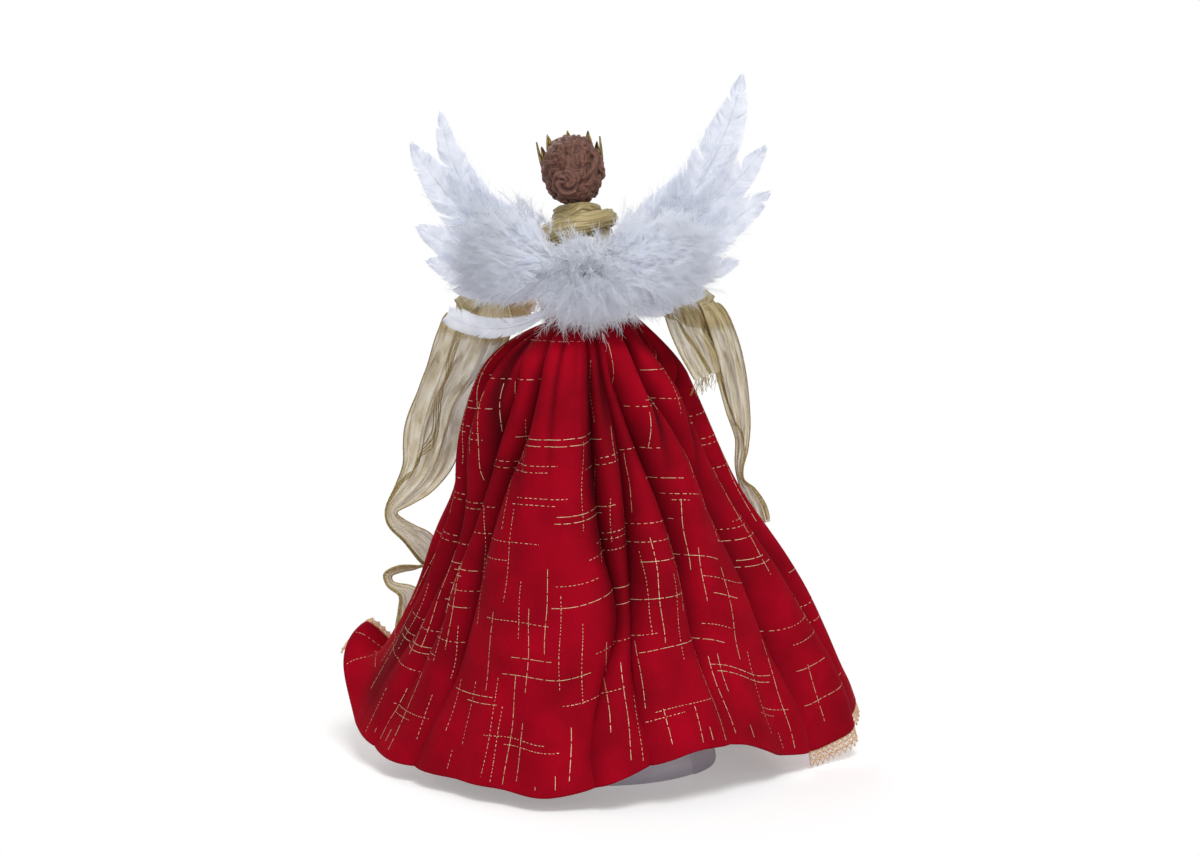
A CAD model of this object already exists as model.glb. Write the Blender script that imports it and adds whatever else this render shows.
"""An angel tree topper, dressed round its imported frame.

Shapes are worked out in millimetres and turned to metres when a mesh is made.
The doll faces +Y with her right side at +X, and the camera looks at her back.
"""
import math

import bpy
import numpy as np
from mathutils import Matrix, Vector


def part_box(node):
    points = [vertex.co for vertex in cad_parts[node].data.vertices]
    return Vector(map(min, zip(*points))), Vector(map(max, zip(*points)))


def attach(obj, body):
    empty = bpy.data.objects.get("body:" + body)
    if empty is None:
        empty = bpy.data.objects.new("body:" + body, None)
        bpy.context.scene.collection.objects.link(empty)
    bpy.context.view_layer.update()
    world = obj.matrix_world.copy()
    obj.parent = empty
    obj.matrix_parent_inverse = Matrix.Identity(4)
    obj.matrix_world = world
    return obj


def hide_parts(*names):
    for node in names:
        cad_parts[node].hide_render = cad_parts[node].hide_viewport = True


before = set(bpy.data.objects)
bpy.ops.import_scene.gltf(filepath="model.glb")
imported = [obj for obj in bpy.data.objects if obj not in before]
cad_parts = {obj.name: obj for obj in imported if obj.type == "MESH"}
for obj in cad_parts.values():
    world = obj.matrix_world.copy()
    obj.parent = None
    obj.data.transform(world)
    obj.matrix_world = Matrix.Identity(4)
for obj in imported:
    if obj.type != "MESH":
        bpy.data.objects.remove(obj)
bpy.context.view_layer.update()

# Studio: a plain pale floor that runs out to white, a soft lamp high behind the camera, a weaker one
# on its right and one before the doll. The camera stands behind the doll and looks slightly down.

MM = 0.001
CAMERA_PLACE = (0, -1331, 354)
CAMERA_PITCH = 8.3  # degrees below level
CAMERA_LENS = 85
FLOOR_HALF = 4000
FLOOR_DROP = 0.05
FLOOR_GLOW = 0.3  # what the camera sees of the floor besides its lit colour
FLOOR_FADE = (115, 235)  # between these distances from the doll the floor runs out to white
WORLD_LIGHT = 0.26  # the surrounding white as a light; as a backdrop it is 1
LAMPS = {
    "key_lamp": {"place": (150, -950, 1600), "aim": (0, 0, 130), "size": 700, "power": 17},
    "fill_lamp": {"place": (600, -1300, 450), "aim": (0, 0, 150), "size": 1200, "power": 4},
    "front_lamp": {"place": (-500, 1300, 900), "aim": (0, 0, 150), "size": 900, "power": 9},
}


def linear(colour):
    """An sRGB hex colour as the linear one that sockets take."""
    parts = [int(colour[i : i + 2], 16) / 255 for i in (1, 3, 5)]
    bent = [c / 12.92 if c <= 0.04045 else ((c + 0.055) / 1.055) ** 2.4 for c in parts]
    return (*bent, 1.0)


def plug(tree, node, inputs):
    """Sets a node's inputs, by socket name or number, to values or to other nodes' sockets."""
    for key, value in dict(inputs).items():
        if isinstance(value, bpy.types.NodeSocket):
            tree.links.new(value, node.inputs[key])
        else:
            node.inputs[key].default_value = value


def add(tree, kind, inputs=(), **settings):
    """Adds one shader node, with its inputs and settings."""
    made = tree.nodes.new("ShaderNode" + kind)
    for key, value in settings.items():
        setattr(made, key, value)
    plug(tree, made, inputs)
    return made


def new_surface(name, inputs):
    """A material with a Principled shader whose sockets are set; returns it, its tree and the shader."""
    material = bpy.data.materials.new(name)
    material.use_nodes = True
    tree = material.node_tree
    shader = tree.nodes["Principled BSDF"]
    plug(tree, shader, inputs)
    return material, tree, shader


def camera_sees(tree):
    """A socket that is 1 for what the camera sees, directly or in a gloss or glass."""
    path = add(tree, "LightPath")
    rays = [path.outputs[f"Is {kind} Ray"] for kind in ("Camera", "Glossy", "Transmission")]
    pair = add(tree, "Math", {0: rays[0], 1: rays[1]}, operation="MAXIMUM")
    return add(tree, "Math", {0: pair.outputs[0], 1: rays[2]}, operation="MAXIMUM").outputs[0]


def background_paper():
    """Matt white paper. It keeps the doll's shadow, and runs out to the backdrop's white round her."""
    material, tree, shader = new_surface(
        "background_paper", {"Base Color": linear("#F8F8F8"), "Roughness": 1.0, "Specular IOR Level": 0.0}
    )
    white = linear("#FFFFFF")
    seen = camera_sees(tree)
    glow = add(tree, "Math", {0: seen, 1: FLOOR_GLOW}, operation="MULTIPLY")
    light = add(tree, "Emission", {"Color": white, "Strength": glow.outputs[0]})
    paper = add(tree, "AddShader", {0: shader.outputs[0], 1: light.outputs[0]})
    place = add(tree, "TexCoord").outputs["Object"]
    distance = add(tree, "VectorMath", {0: place}, operation="LENGTH").outputs["Value"]
    near, far = (edge * MM for edge in FLOOR_FADE)
    reach = {"Value": distance, "From Min": near, "From Max": far}
    fade = add(tree, "MapRange", reach, interpolation_type="SMOOTHSTEP")
    gone = add(tree, "Math", {0: fade.outputs["Result"], 1: seen}, operation="MULTIPLY")
    backdrop = add(tree, "Emission", {"Color": white, "Strength": 1.0})
    surface = add(tree, "MixShader", {0: gone.outputs[0], 1: paper.outputs[0], 2: backdrop.outputs[0]})
    plug(tree, tree.nodes["Material Output"], {"Surface": surface.outputs[0]})
    return material


def stand(made, place, aim):
    """Puts a lamp or camera at one place, looking at another."""
    bpy.context.collection.objects.link(made)
    made.location = Vector(place) * MM
    made.rotation_euler = (Vector(aim) - Vector(place)).to_track_quat("-Z", "Y").to_euler()


for name, lamp in LAMPS.items():
    light = bpy.data.lights.new(name, "AREA")
    light.size = lamp["size"] * MM
    light.energy = lamp["power"]
    stand(bpy.data.objects.new(name, light), lamp["place"], lamp["aim"])

lens = bpy.data.cameras.new("camera")
lens.lens = CAMERA_LENS
camera = bpy.data.objects.new("camera", lens)
fall = math.tan(math.radians(CAMERA_PITCH)) * -CAMERA_PLACE[1]
stand(camera, CAMERA_PLACE, (0, 0, CAMERA_PLACE[2] - fall))
bpy.context.scene.camera = camera
bpy.context.scene.view_settings.view_transform = "Standard"

world = bpy.data.worlds.new("studio_white")
world.use_nodes = True
bpy.context.scene.world = world
sky = world.node_tree
strength = add(sky, "MapRange", {"Value": camera_sees(sky), "To Min": WORLD_LIGHT, "To Max": 1.0})
plug(sky, sky.nodes["Background"], {"Color": linear("#FFFFFF"), "Strength": strength.outputs["Result"]})

floor_mesh = bpy.data.meshes.new("studio_floor")
corners = [(-1, -1), (1, -1), (1, 1), (-1, 1)]
floor_places = [(x * FLOOR_HALF * MM, y * FLOOR_HALF * MM, -FLOOR_DROP * MM) for x, y in corners]
floor_mesh.from_pydata(floor_places, [], [(0, 1, 2, 3)])
floor = bpy.data.objects.new("studio_floor", floor_mesh)
bpy.context.collection.objects.link(floor)
floor.data.materials.append(background_paper())

# Base cone: a sheet of frosted polypropylene rolled up, lapped over itself and held by a line of
# hot glue. It slips over the tree's leader and carries everything else.

CONE_BASE_RADIUS = 56
CONE_TOP_RADIUS = 14
CONE_HEIGHT = 200
CONE_WALL = 0.8
CONE_SEAM_ANGLE = 52  # degrees from the back towards +X, where the outer edge lies
CONE_LAP = 14  # degrees of sheet under that edge
CONE_LAP_RAMP = 2.4  # laps before the end where the sheet starts to climb over itself
CONE_LAP_GAP = 0.1
GLUE_RADIUS = 0.55
GLUE_OUT = np.array([1.004, 1.004, 1.0])  # scales the seam's line out to the bead's


def smoothstep(low, high, at):
    """A smooth ramp from 0 at low to 1 at high."""
    share = np.clip((at - low) / (high - low), 0, 1)
    return share * share * (3 - 2 * share)


def unit(vectors):
    """Vectors scaled to length one."""
    return vectors / np.maximum(np.linalg.norm(vectors, axis=-1, keepdims=True), 1e-9)


def xyz(x, y, z):
    """Places from their coordinates, each a grid or one value for all."""
    return np.stack(np.broadcast_arrays(x, y, z), axis=-1)


def grid(columns, rows):
    """Shares across and down a sheet, for each of its places."""
    return np.meshgrid(np.linspace(0, 1, columns + 1), np.linspace(0, 1, rows + 1))


def full_turn(count):
    """Angles evenly round a full turn."""
    return np.linspace(0, 2 * np.pi, count, endpoint=False)


def run_along(places):
    """How far along a line each of its places lies."""
    return np.r_[0, np.cumsum(np.linalg.norm(np.diff(places, axis=0), axis=1))]


def sheet_mesh(places, thickness, loop=False, keep=None):
    """A thin body about a grid of places (rows, columns, 3), and its flat size for its UV map.

    A loop repeats its first column as its last. Keep marks the cells that are there, for holes.
    """
    padded = np.concatenate([places[:, -2:-1], places, places[:, 1:2]], axis=1) if loop else places
    along = np.gradient(padded, axis=1)
    if loop:
        along = along[:, 1:-1]
    normal = unit(np.cross(along, np.gradient(places, axis=0)))
    rows, columns = places.shape[:2]
    layers = np.stack([places + normal * thickness / 2, places - normal * thickness / 2])
    index = np.arange(rows * columns).reshape(rows, columns)
    under = rows * columns
    cells = [index[:-1, :-1], index[:-1, 1:], index[1:, 1:], index[1:, :-1]]
    keep = np.ones(cells[0].shape, bool) if keep is None else keep
    front = np.stack([cell[keep] for cell in cells], axis=1)
    edges = [index[0], index[-1][::-1]]
    if not loop:
        edges += [index[::-1, 0], index[:, -1]]
    rims = [np.stack([e[:-1], e[:-1] + under, e[1:] + under, e[1:]], axis=1) for e in edges]
    faces = np.concatenate([front, front[:, ::-1] + under, *rims])
    flat_u, flat_v = np.meshgrid(run_along(places[rows // 2]), run_along(places[:, columns // 2]))
    flat = np.tile(np.stack([flat_u, flat_v], axis=-1).reshape(-1, 2), (2, 1))
    return layers.reshape(-1, 3), faces, flat


def tube_mesh(lines, radius, sides=6):
    """Round cords along lines (cords, points, 3). Radius may vary by cord, point and side."""
    lines = np.asarray(lines, float)
    cords, points = lines.shape[:2]
    along = unit(np.gradient(lines, axis=1))
    across = np.empty_like(lines)
    least = np.eye(3)[np.argmin(np.abs(along.mean(axis=1)), axis=1)]
    across[:, 0] = unit(np.cross(along[:, 0], least))
    for k in range(1, points):
        carried = across[:, k - 1]
        across[:, k] = unit(carried - along[:, k] * np.sum(carried * along[:, k], axis=1, keepdims=True))
    other = np.cross(along, across)
    angle = full_turn(sides)
    radius = np.asarray(radius, float)
    radius = np.broadcast_to(radius.reshape(radius.shape + (1,) * (3 - radius.ndim)), (cords, points, sides))
    spoke = across[:, :, None] * np.cos(angle)[:, None] + other[:, :, None] * np.sin(angle)[:, None]
    ring = lines[:, :, None] + spoke * radius[..., None]
    index = np.arange(cords * points * sides).reshape(cords, points, sides)
    turned = np.roll(index, -1, axis=2)
    quads = [index[:, :-1], turned[:, :-1], turned[:, 1:], index[:, 1:]]
    walls = np.stack(quads, axis=-1).reshape(-1, 4)
    caps = np.concatenate([index[:, 0, ::-1], index[:, -1]])
    return ring.reshape(-1, 3), walls.tolist() + caps.tolist(), None


def corner_lists(faces):
    """Faces as plain lists of their corners."""
    return faces.tolist() if isinstance(faces, np.ndarray) else faces


def piece(name, mesh, material, body, slot, *nodes, normals=None):
    """A finished object from a mesh in millimetres, riding a body and standing for some CAD nodes.

    Normals, if given, shade the piece as if it were a smoother body.
    """
    points, faces, flat = mesh
    data = bpy.data.meshes.new(name)
    data.from_pydata((np.asarray(points) * MM).tolist(), [], corner_lists(faces))
    data.shade_smooth()
    if normals is not None:
        data.normals_split_custom_set_from_vertices(normals.tolist())
    if flat is not None:
        corner = np.empty(len(data.loops), np.int32)
        data.loops.foreach_get("vertex_index", corner)
        data.uv_layers.new(name="flat").data.foreach_set("uv", (flat[corner] * MM).ravel())
    made = bpy.data.objects.new(name, data)
    bpy.context.collection.objects.link(made)
    data.materials.append(material)
    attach(made, body)
    if nodes:
        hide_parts(*nodes)
    return made


def noise(tree, grain, detail=2.0):
    """A socket of soft random patches, about grain millimetres across."""
    place = add(tree, "TexCoord").outputs["Object"]
    inputs = {"Vector": place, "Scale": 1 / (grain * MM), "Detail": detail}
    return add(tree, "TexNoise", inputs).outputs["Fac"]


def ramp(tree, amount, *stops):
    """A socket whose colour runs through (position, sRGB hex) stops as the amount rises."""
    made = add(tree, "ValToRGB", {"Fac": amount})
    elements = made.color_ramp.elements
    for position, colour in stops[1:-1]:
        elements.new(position).color = linear(colour)
    for element, (position, colour) in ((elements[0], stops[0]), (elements[-1], stops[-1])):
        element.position = position
        element.color = linear(colour)
    return made.outputs["Color"]


def bumped(tree, height, strength, depth, over=None):
    """A socket of normals bumped by a height, depth millimetres deep, over other bumps if there are any."""
    inputs = {"Height": height, "Strength": strength, "Distance": depth * MM}
    if over is not None:
        inputs["Normal"] = over
    return add(tree, "Bump", inputs).outputs["Normal"]


def lit_through(tree, shader, colour, share):
    """Lets a share of the light shine through from the other side, in a colour."""
    glow = add(tree, "BsdfTranslucent", {"Color": colour})
    both = add(tree, "MixShader", {"Fac": share, 1: shader.outputs[0], 2: glow.outputs[0]})
    plug(tree, tree.nodes["Material Output"], {"Surface": both.outputs[0]})


def frosted_polypropylene():
    """Calendered sheet, matt on both sides: milky, a little light comes through, faint scuffs."""
    look = {"Base Color": linear("#F0EDF3"), "Roughness": 0.5, "IOR": 1.49}
    material, tree, shader = new_surface("frosted_polypropylene", look)
    haze = ramp(tree, noise(tree, 14, 3.0), (0.35, "#E4E1E9"), (0.7, "#F6F4F8"))
    plug(tree, shader, {"Base Color": haze, "Normal": bumped(tree, noise(tree, 0.6), 0.08, 0.1)})
    lit_through(tree, shader, linear("#F6F3F8"), 0.42)
    return material


def mottled(name, look, tones, grain, relief, detail=3.0, stops=(0.32, 0.68), strength=0.4):
    """A plain finish that varies softly between two tones, with its grain and relief in millimetres."""
    material, tree, shader = new_surface(name, look)
    cloud = noise(tree, grain, detail)
    tone = ramp(tree, cloud, *zip(stops, tones))
    plug(tree, shader, {"Base Color": tone, "Normal": bumped(tree, cloud, strength, relief)})
    return material


def hot_glue():
    """A set bead of glue: milky, smooth and a little wavy, some light comes through."""
    look = {"Roughness": 0.3, "Transmission Weight": 0.15}
    return mottled("hot_glue", look, ("#E6E4DF", "#F6F5F2"), 2, 0.1)


u, v = grid(180, 24)
lap_share = CONE_LAP / (360 + CONE_LAP)
turn = np.radians(CONE_SEAM_ANGLE + CONE_LAP - u * (360 + CONE_LAP))
over = smoothstep(1 - CONE_LAP_RAMP * lap_share, 1 - lap_share, u) * (CONE_WALL + CONE_LAP_GAP)
radius = CONE_BASE_RADIUS + (CONE_TOP_RADIUS - CONE_BASE_RADIUS) * v - CONE_WALL / 2 + over
rolled = xyz(radius * np.sin(turn), -radius * np.cos(turn), CONE_HEIGHT * v)
plastic = frosted_polypropylene()
piece("rolled_cone", sheet_mesh(rolled, CONE_WALL), plastic, "root", "frosted_plastic", "base_cone")

bead = rolled[:, -1][None] * GLUE_OUT
bead_radius = GLUE_RADIUS * (1 + 0.25 * np.sin(np.arange(bead.shape[1]) * 2.1))
bead_mesh = tube_mesh(bead[:, 1:-1], bead_radius[None, 1:-1])
piece("cone_glue_line", bead_mesh, hot_glue(), "root", "frosted_plastic")

# Plug: pressed paper pulp, pushed into the cone's top as a seat for the torso. It stays as the CAD
# has it and only gets its finish.


def pressed_pulp():
    """Grey-brown paper pulp pressed in a mould: matt, flecked with fibres, softly pitted."""
    look = {"Base Color": linear("#B8A88C"), "Roughness": 0.92}
    return mottled("pressed_paper_pulp", look, ("#97876B", "#CBBC9F"), 1.5, 0.3, detail=6.0, stops=(0, 1))


def dress(node, material):
    """Gives a CAD node its finish."""
    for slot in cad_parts[node].material_slots:
        slot.material = material


dress("cone_plug", pressed_pulp())

# Torso: a stuffed calico form glued on the plug, with a wire through its shoulders for the arms.
# From the waist up the doll leans a little to her left.

SIDES = {"left": -1, "right": 1}
LEAN = math.radians(5.5)
WAIST_PLACE = np.array([-5, 0, 202.3])
TORSO_HEIGHT = 46.5
TORSO_WIDTHS = [(0, 16.5), (27, 22), (38, 25), (46.5, 12.5)]
TORSO_DEPTHS = [(0, 13), (27, 15), (38, 13), (46.5, 9)]
TORSO_FOOT = -0.1  # its cut foot, under the waist's place
SEAM_DEPTH = 0.25
SEAM_HALF_SHARE = 0.006  # of the torso's round
SHOULDER_REACH = 24
SHOULDER_RISE = 37
ARMHOLE = 8.3
WIRES = ("shoulder_wire", "left_arm_wire", "right_arm_wire", "left_wing_wire", "right_wing_wire")


def bell(t):
    """A rounded hump, 1 high."""
    return np.exp(-t * t)


def through(stations):
    """A smooth function through (at, value) stations."""
    at, value = np.array(stations, float).T
    rise = np.r_[value[1:], value[-1]] - np.r_[value[0], value[:-1]]
    slope = rise / (np.r_[at[1:], at[-1]] - np.r_[at[0], at[:-1]])

    def value_at(x):
        i = np.clip(np.searchsorted(at, x) - 1, 0, len(at) - 2)
        wide = at[i + 1] - at[i]
        t = np.clip((x - at[i]) / wide, 0, 1)
        ease = t * t * (3 - 2 * t)
        bend = wide * t * (1 - t) * ((1 - t) * slope[i] - t * slope[i + 1])
        return value[i] + (value[i + 1] - value[i]) * ease + bend

    return value_at


def leaned(places):
    """Places on the leaning upper body, in the object's own frame."""
    x, y, z = np.moveaxis(np.asarray(places, float), -1, 0)
    turned_x = x * math.cos(LEAN) - z * math.sin(LEAN)
    turned_z = x * math.sin(LEAN) + z * math.cos(LEAN)
    return xyz(turned_x, y, turned_z) + WAIST_PLACE


torso_width = through(TORSO_WIDTHS)
torso_depth = through(TORSO_DEPTHS)


def torso_places(angle, height, grow):
    """Places round the upper body. The angle runs from the back towards +X."""
    wide = torso_width(height) + grow
    deep = torso_depth(height) + grow
    return xyz(wide * np.sin(angle), -deep * np.cos(angle), height)


def calico():
    """Plain-woven unbleached cotton: off-white and matt, with a fine crossed weave."""
    look = {"Base Color": linear("#ECE7DC"), "Roughness": 0.9, "Sheen Weight": 0.2}
    weave = {"detail": 2.0, "stops": (0, 1), "strength": 0.3}
    return mottled("calico", look, ("#DDD6C8", "#F2EEE6"), 0.7, 0.2, **weave)


def ring_mesh(rings):
    """A closed body through rings (rings, points, 3), with a cap on each end."""
    count, points = rings.shape[:2]
    index = np.arange(count * points).reshape(count, points)
    turned = np.roll(index, -1, axis=1)
    walls = np.stack([index[:-1], turned[:-1], turned[1:], index[1:]], axis=-1).reshape(-1, 4)
    return rings.reshape(-1, 3), walls.tolist() + [index[0, ::-1].tolist(), index[-1].tolist()], None


u, v = grid(96, 40)
u, v = u[:, :-1], v[:, :-1]
crease = -SEAM_DEPTH * bell((u - 0.5) / SEAM_HALF_SHARE)
form = torso_places(u * 2 * np.pi, v * TORSO_HEIGHT, crease)
form[..., 2] = np.maximum(form[..., 2], TORSO_FOOT - form[..., 0] * math.tan(LEAN))
for side in SIDES.values():
    off = form - np.array([side * SHOULDER_REACH, 0, SHOULDER_RISE])
    room = ARMHOLE**2 - off[..., 1] ** 2 - off[..., 2] ** 2
    dent = side * SHOULDER_REACH - side * np.sqrt(np.maximum(room, 0))
    inside = (room > 0) & (side * form[..., 0] > side * dent)
    form[..., 0] = np.where(inside, dent, form[..., 0])
torso = piece("stuffed_torso", ring_mesh(leaned(form)), calico(), "root", "stuffed_cloth", "torso_form")


def drawn_steel():
    """Soft annealed wire: grey, a little dull, with fine drawing lines."""
    look = {"Base Color": linear("#A3A3A1"), "Metallic": 1.0, "Roughness": 0.38}
    material, tree, shader = new_surface("annealed_steel_wire", look)
    shine = add(tree, "MapRange", {"Value": noise(tree, 0.4), "To Min": 0.3, "To Max": 0.5})
    plug(tree, shader, {"Roughness": shine.outputs["Result"]})
    return material


steel = drawn_steel()
for wire_node in WIRES:
    dress(wire_node, steel)

# Bodice: red velvet cut as a close shell and sewn round the torso, with a bound neck edge and
# armholes that the sleeves turn in.

BODICE_BOTTOM = 3.09
BODICE_TOP = 44.5
BODICE_CLOTH = 1.2
BODICE_GROW = 1.1  # from the torso to the middle of the cloth


def red_velvet():
    """Cut-pile velvet: deep red, dark where one looks into the pile and lighter where it lies over."""
    look = {
        "Base Color": linear("#9A0019"),
        "Roughness": 0.85,
        "Specular IOR Level": 0.08,
        "Sheen Weight": 0.12,
        "Sheen Roughness": 0.3,
        "Sheen Tint": linear("#E0203C"),
    }
    material, tree, shader = new_surface("red_velvet", look)
    brushed = ramp(tree, noise(tree, 22, 4.0), (0.3, "#8C0016"), (0.7, "#AE001E"))
    folded = add(tree, "Attribute", attribute_name="fold_shade").outputs["Fac"]
    tones = {"Factor": folded, "A": brushed, "B": linear("#3C0007")}
    shaded = add(tree, "Mix", tones, data_type="RGBA").outputs["Result"]
    pile = bumped(tree, noise(tree, 0.8, 3.0), 0.3, 0.2)
    crushed = bumped(tree, noise(tree, 9), 0.25, 1.0, over=pile)
    plug(tree, shader, {"Base Color": shaded, "Normal": crushed})
    return material


velvet = red_velvet()
u, v = grid(200, 70)
height = BODICE_BOTTOM + (BODICE_TOP - BODICE_BOTTOM) * v
shell = torso_places(u * 2 * np.pi, height, BODICE_GROW)
middles = (shell[:-1, :-1] + shell[1:, 1:]) / 2
cloth_left = np.ones(middles.shape[:2], bool)
for side in SIDES.values():
    shoulder = np.array([side * SHOULDER_REACH, 0, SHOULDER_RISE])
    cloth_left &= np.linalg.norm(middles - shoulder, axis=-1) >= ARMHOLE
shell_mesh = sheet_mesh(leaned(shell), BODICE_CLOTH, loop=True, keep=cloth_left)
bodice = piece("velvet_bodice", shell_mesh, velvet, "root", "red_velvet", "bodice")

# Head: cast resin, with its neck and a small shoulder plate in the same casting, painted by hand.
# The face is calm and plain: closed lids, a small mouth and a soft blush.

HEAD_RISE = 79  # its centre over the waist
HEAD_HALVES = (10.8, 12.6, 15)
HEAD_FORWARD = 1
JAW_TAPER = 0.16
NECK_WIDTHS = [(46.8, 11.5), (49.8, 9.5), (53.8, 6.4), (70, 5.8)]
NECK_FOOT, NECK_TOP = 46.8, 70
NECK_SETBACK = 1.5
NECK_DEEPEST = 8.5
CAST_VOXEL = 0.4
EYES_APART = 24  # degrees to each side
# Each swelling: height from chin (-1) to crown (1), rise in mm, half-height, half-width, degrees apart
FACE_FORMS = [
    (-0.06, 0.7, 0.20, 5, 0),
    (-0.22, 2.0, 0.10, 8, 0),
    (0.03, -1.0, 0.13, 12, EYES_APART),
    (0.0, 0.7, 0.07, 8, EYES_APART),
    (0.2, 0.5, 0.08, 24, 20),
    (-0.3, 0.5, 0.16, 14, 30),
    (-0.49, 0.6, 0.045, 11, 0),
    (-0.58, 0.6, 0.045, 9, 0),
    (-0.82, 0.9, 0.13, 20, 0),
]
# Each painted line over an eye: height, bow, half-width in degrees, thickness
FACE_LINES = [(-0.02, -0.05, 9, 0.22), (0.24, 0.05, 11, 0.2)]
# Paint on the face: height, half-height, degrees apart, half-width
LIP_PAINT = (-0.535, 0.055, 0, 12)
BLUSH_PAINT = (-0.3, 0.17, 32, 13)


def merged(*meshes):
    """Several meshes as one."""
    points, faces = [], []
    start = 0
    for made_points, made_faces, _ in meshes:
        points.append(made_points)
        faces += [[corner + start for corner in face] for face in corner_lists(made_faces)]
        start += len(made_points)
    return np.concatenate(points), faces, None


def jaw_share(climb):
    """How much of its width the head keeps, towards the jaw."""
    return 1 - JAW_TAPER * smoothstep(0.1, -0.9, climb)


def egg_grid(columns, rows, pole):
    """Angles round an egg, and climbs from its chin (-1) to its crown (1)."""
    return np.meshgrid(full_turn(columns), -np.cos(np.linspace(pole, np.pi - pole, rows)))


def egg_places(climb, angle, halves, forward, out):
    """Places on a head-like egg that narrows to the jaw. The angle runs from the back towards +X."""
    around = np.sqrt(np.maximum(1 - climb**2, 0))
    x = (halves[0] * jaw_share(climb) * around + out) * np.sin(angle)
    y = forward - (halves[1] * around + out) * np.cos(angle)
    return xyz(x, y, HEAD_RISE + (halves[2] + out) * climb)


def face_relief(climb, angle):
    """How far the face stands out of the egg."""
    from_front = np.degrees(angle) - 180
    total = np.zeros_like(climb)
    for at, rise, tall, wide, apart in FACE_FORMS:
        for side in (-1, 1) if apart else (0,):
            total += rise * bell((climb - at) / tall) * bell((from_front - side * apart) / wide)
    return total


def fused(made, voxel):
    """Joins what overlaps in a piece into one skin, as a casting has."""
    remesh = made.modifiers.new("fuse", "REMESH")
    remesh.mode = "VOXEL"
    remesh.voxel_size = voxel * MM
    soften = made.modifiers.new("soften", "SMOOTH")
    soften.factor = 0.5
    soften.iterations = 2
    graph = bpy.context.evaluated_depsgraph_get()
    skin = bpy.data.meshes.new_from_object(made.evaluated_get(graph))
    made.modifiers.clear()
    made.data = skin
    skin.shade_smooth()


def vertex_vectors(made, kind):
    """A piece's vertex places (co) in metres, or its vertex normals (normal)."""
    values = np.empty(len(made.data.vertices) * 3, np.float32)
    made.data.vertices.foreach_get(kind, values)
    return values.reshape(-1, 3)


def paint(made, name, values):
    """Keeps one number for each vertex, for the material to read."""
    layer = made.data.attributes.new(name, "FLOAT", "POINT")
    layer.data.foreach_set("value", np.asarray(values, np.float32))


def painted_resin():
    """Cast resin under matt flesh paint, with rubbed-on blush and a painted mouth."""
    look = {
        "Base Color": linear("#EBCBB2"),
        "Roughness": 0.48,
        "Subsurface Weight": 0.08,
        "Subsurface Scale": 2 * MM,
        "Subsurface Radius": (1.0, 0.4, 0.25),
    }
    material, tree, shader = new_surface("flesh_painted_resin", look)
    mottle = noise(tree, 3, 3.0)
    colour = ramp(tree, mottle, (0, "#E6C2A8"), (1, "#F0D3BC"))
    for layer, tint, strength in (("blush", "#DE8F7C", 0.55), ("lips", "#B4564F", 0.85)):
        amount = add(tree, "Attribute", attribute_name=layer).outputs["Fac"]
        share = add(tree, "Math", {0: amount, 1: strength}, operation="MULTIPLY").outputs[0]
        tones = {"Factor": share, "A": colour, "B": linear(tint)}
        colour = add(tree, "Mix", tones, data_type="RGBA").outputs["Result"]
    plug(tree, shader, {"Base Color": colour, "Normal": bumped(tree, mottle, 0.1, 0.15)})
    return material


angle, climb = egg_grid(160, 110, 0.02)
skull = egg_places(climb, angle, HEAD_HALVES, HEAD_FORWARD, face_relief(climb, angle))
neck_rise = np.linspace(NECK_FOOT, NECK_TOP, 30)[:, None]
neck_turn = full_turn(72)[None]
neck_wide = through(NECK_WIDTHS)(neck_rise)
set_back = -NECK_SETBACK * smoothstep(NECK_FOOT, 56, neck_rise)
neck_y = set_back - np.minimum(neck_wide, NECK_DEEPEST) * np.cos(neck_turn)
neck = xyz(neck_wide * np.sin(neck_turn), neck_y, neck_rise)
resin = painted_resin()
cast = merged(ring_mesh(leaned(skull)), ring_mesh(leaned(neck)))
head = piece("resin_head", cast, resin, "root", "painted_resin", "shoulder_head")
fused(head, CAST_VOXEL)


def brown_paint():
    """Thin brown paint drawn on with a fine brush: darker where the brush was full."""
    return mottled("brown_brushed_paint", {"Roughness": 0.5}, ("#482A20", "#6B4536"), 1.5, 0.05)


def upright(places):
    """Places in the object's frame, back on the upright upper body."""
    x, y, z = np.moveaxis(places - WAIST_PLACE, -1, 0)
    return xyz(x * math.cos(LEAN) + z * math.sin(LEAN), y, z * math.cos(LEAN) - x * math.sin(LEAN))


on_head = upright(vertex_vectors(head, "co") / MM) - np.array([0, HEAD_FORWARD, HEAD_RISE])
face_climb = on_head[:, 2] / HEAD_HALVES[2]
face_turn = np.degrees(np.arctan2(on_head[:, 0], on_head[:, 1]))
for layer, (at, tall, apart, wide) in (("lips", LIP_PAINT), ("blush", BLUSH_PAINT)):
    paint(head, layer, bell((face_climb - at) / tall) * bell((np.abs(face_turn) - apart) / wide))

face_lines = []
span = np.linspace(-1, 1, 12)
for side in SIDES.values():
    for rise, bow, wide, radius in FACE_LINES:
        line_turn = np.pi + np.radians(side * EYES_APART + span * wide)
        line_climb = rise + bow * (1 - span**2)
        out = face_relief(line_climb, line_turn) + 0.02
        line = egg_places(line_climb, line_turn, HEAD_HALVES, HEAD_FORWARD, out)
        face_lines.append(tube_mesh(leaned(line)[None], radius * (1 - 0.7 * span[None] ** 4)))
piece("painted_lids_and_brows", merged(*face_lines), brown_paint(), "root", "painted_resin")

# Hair: moulded in the same resin and painted brown, combed back from the brow into a coiled bun at
# the nape, with loose curls over each ear.

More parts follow.
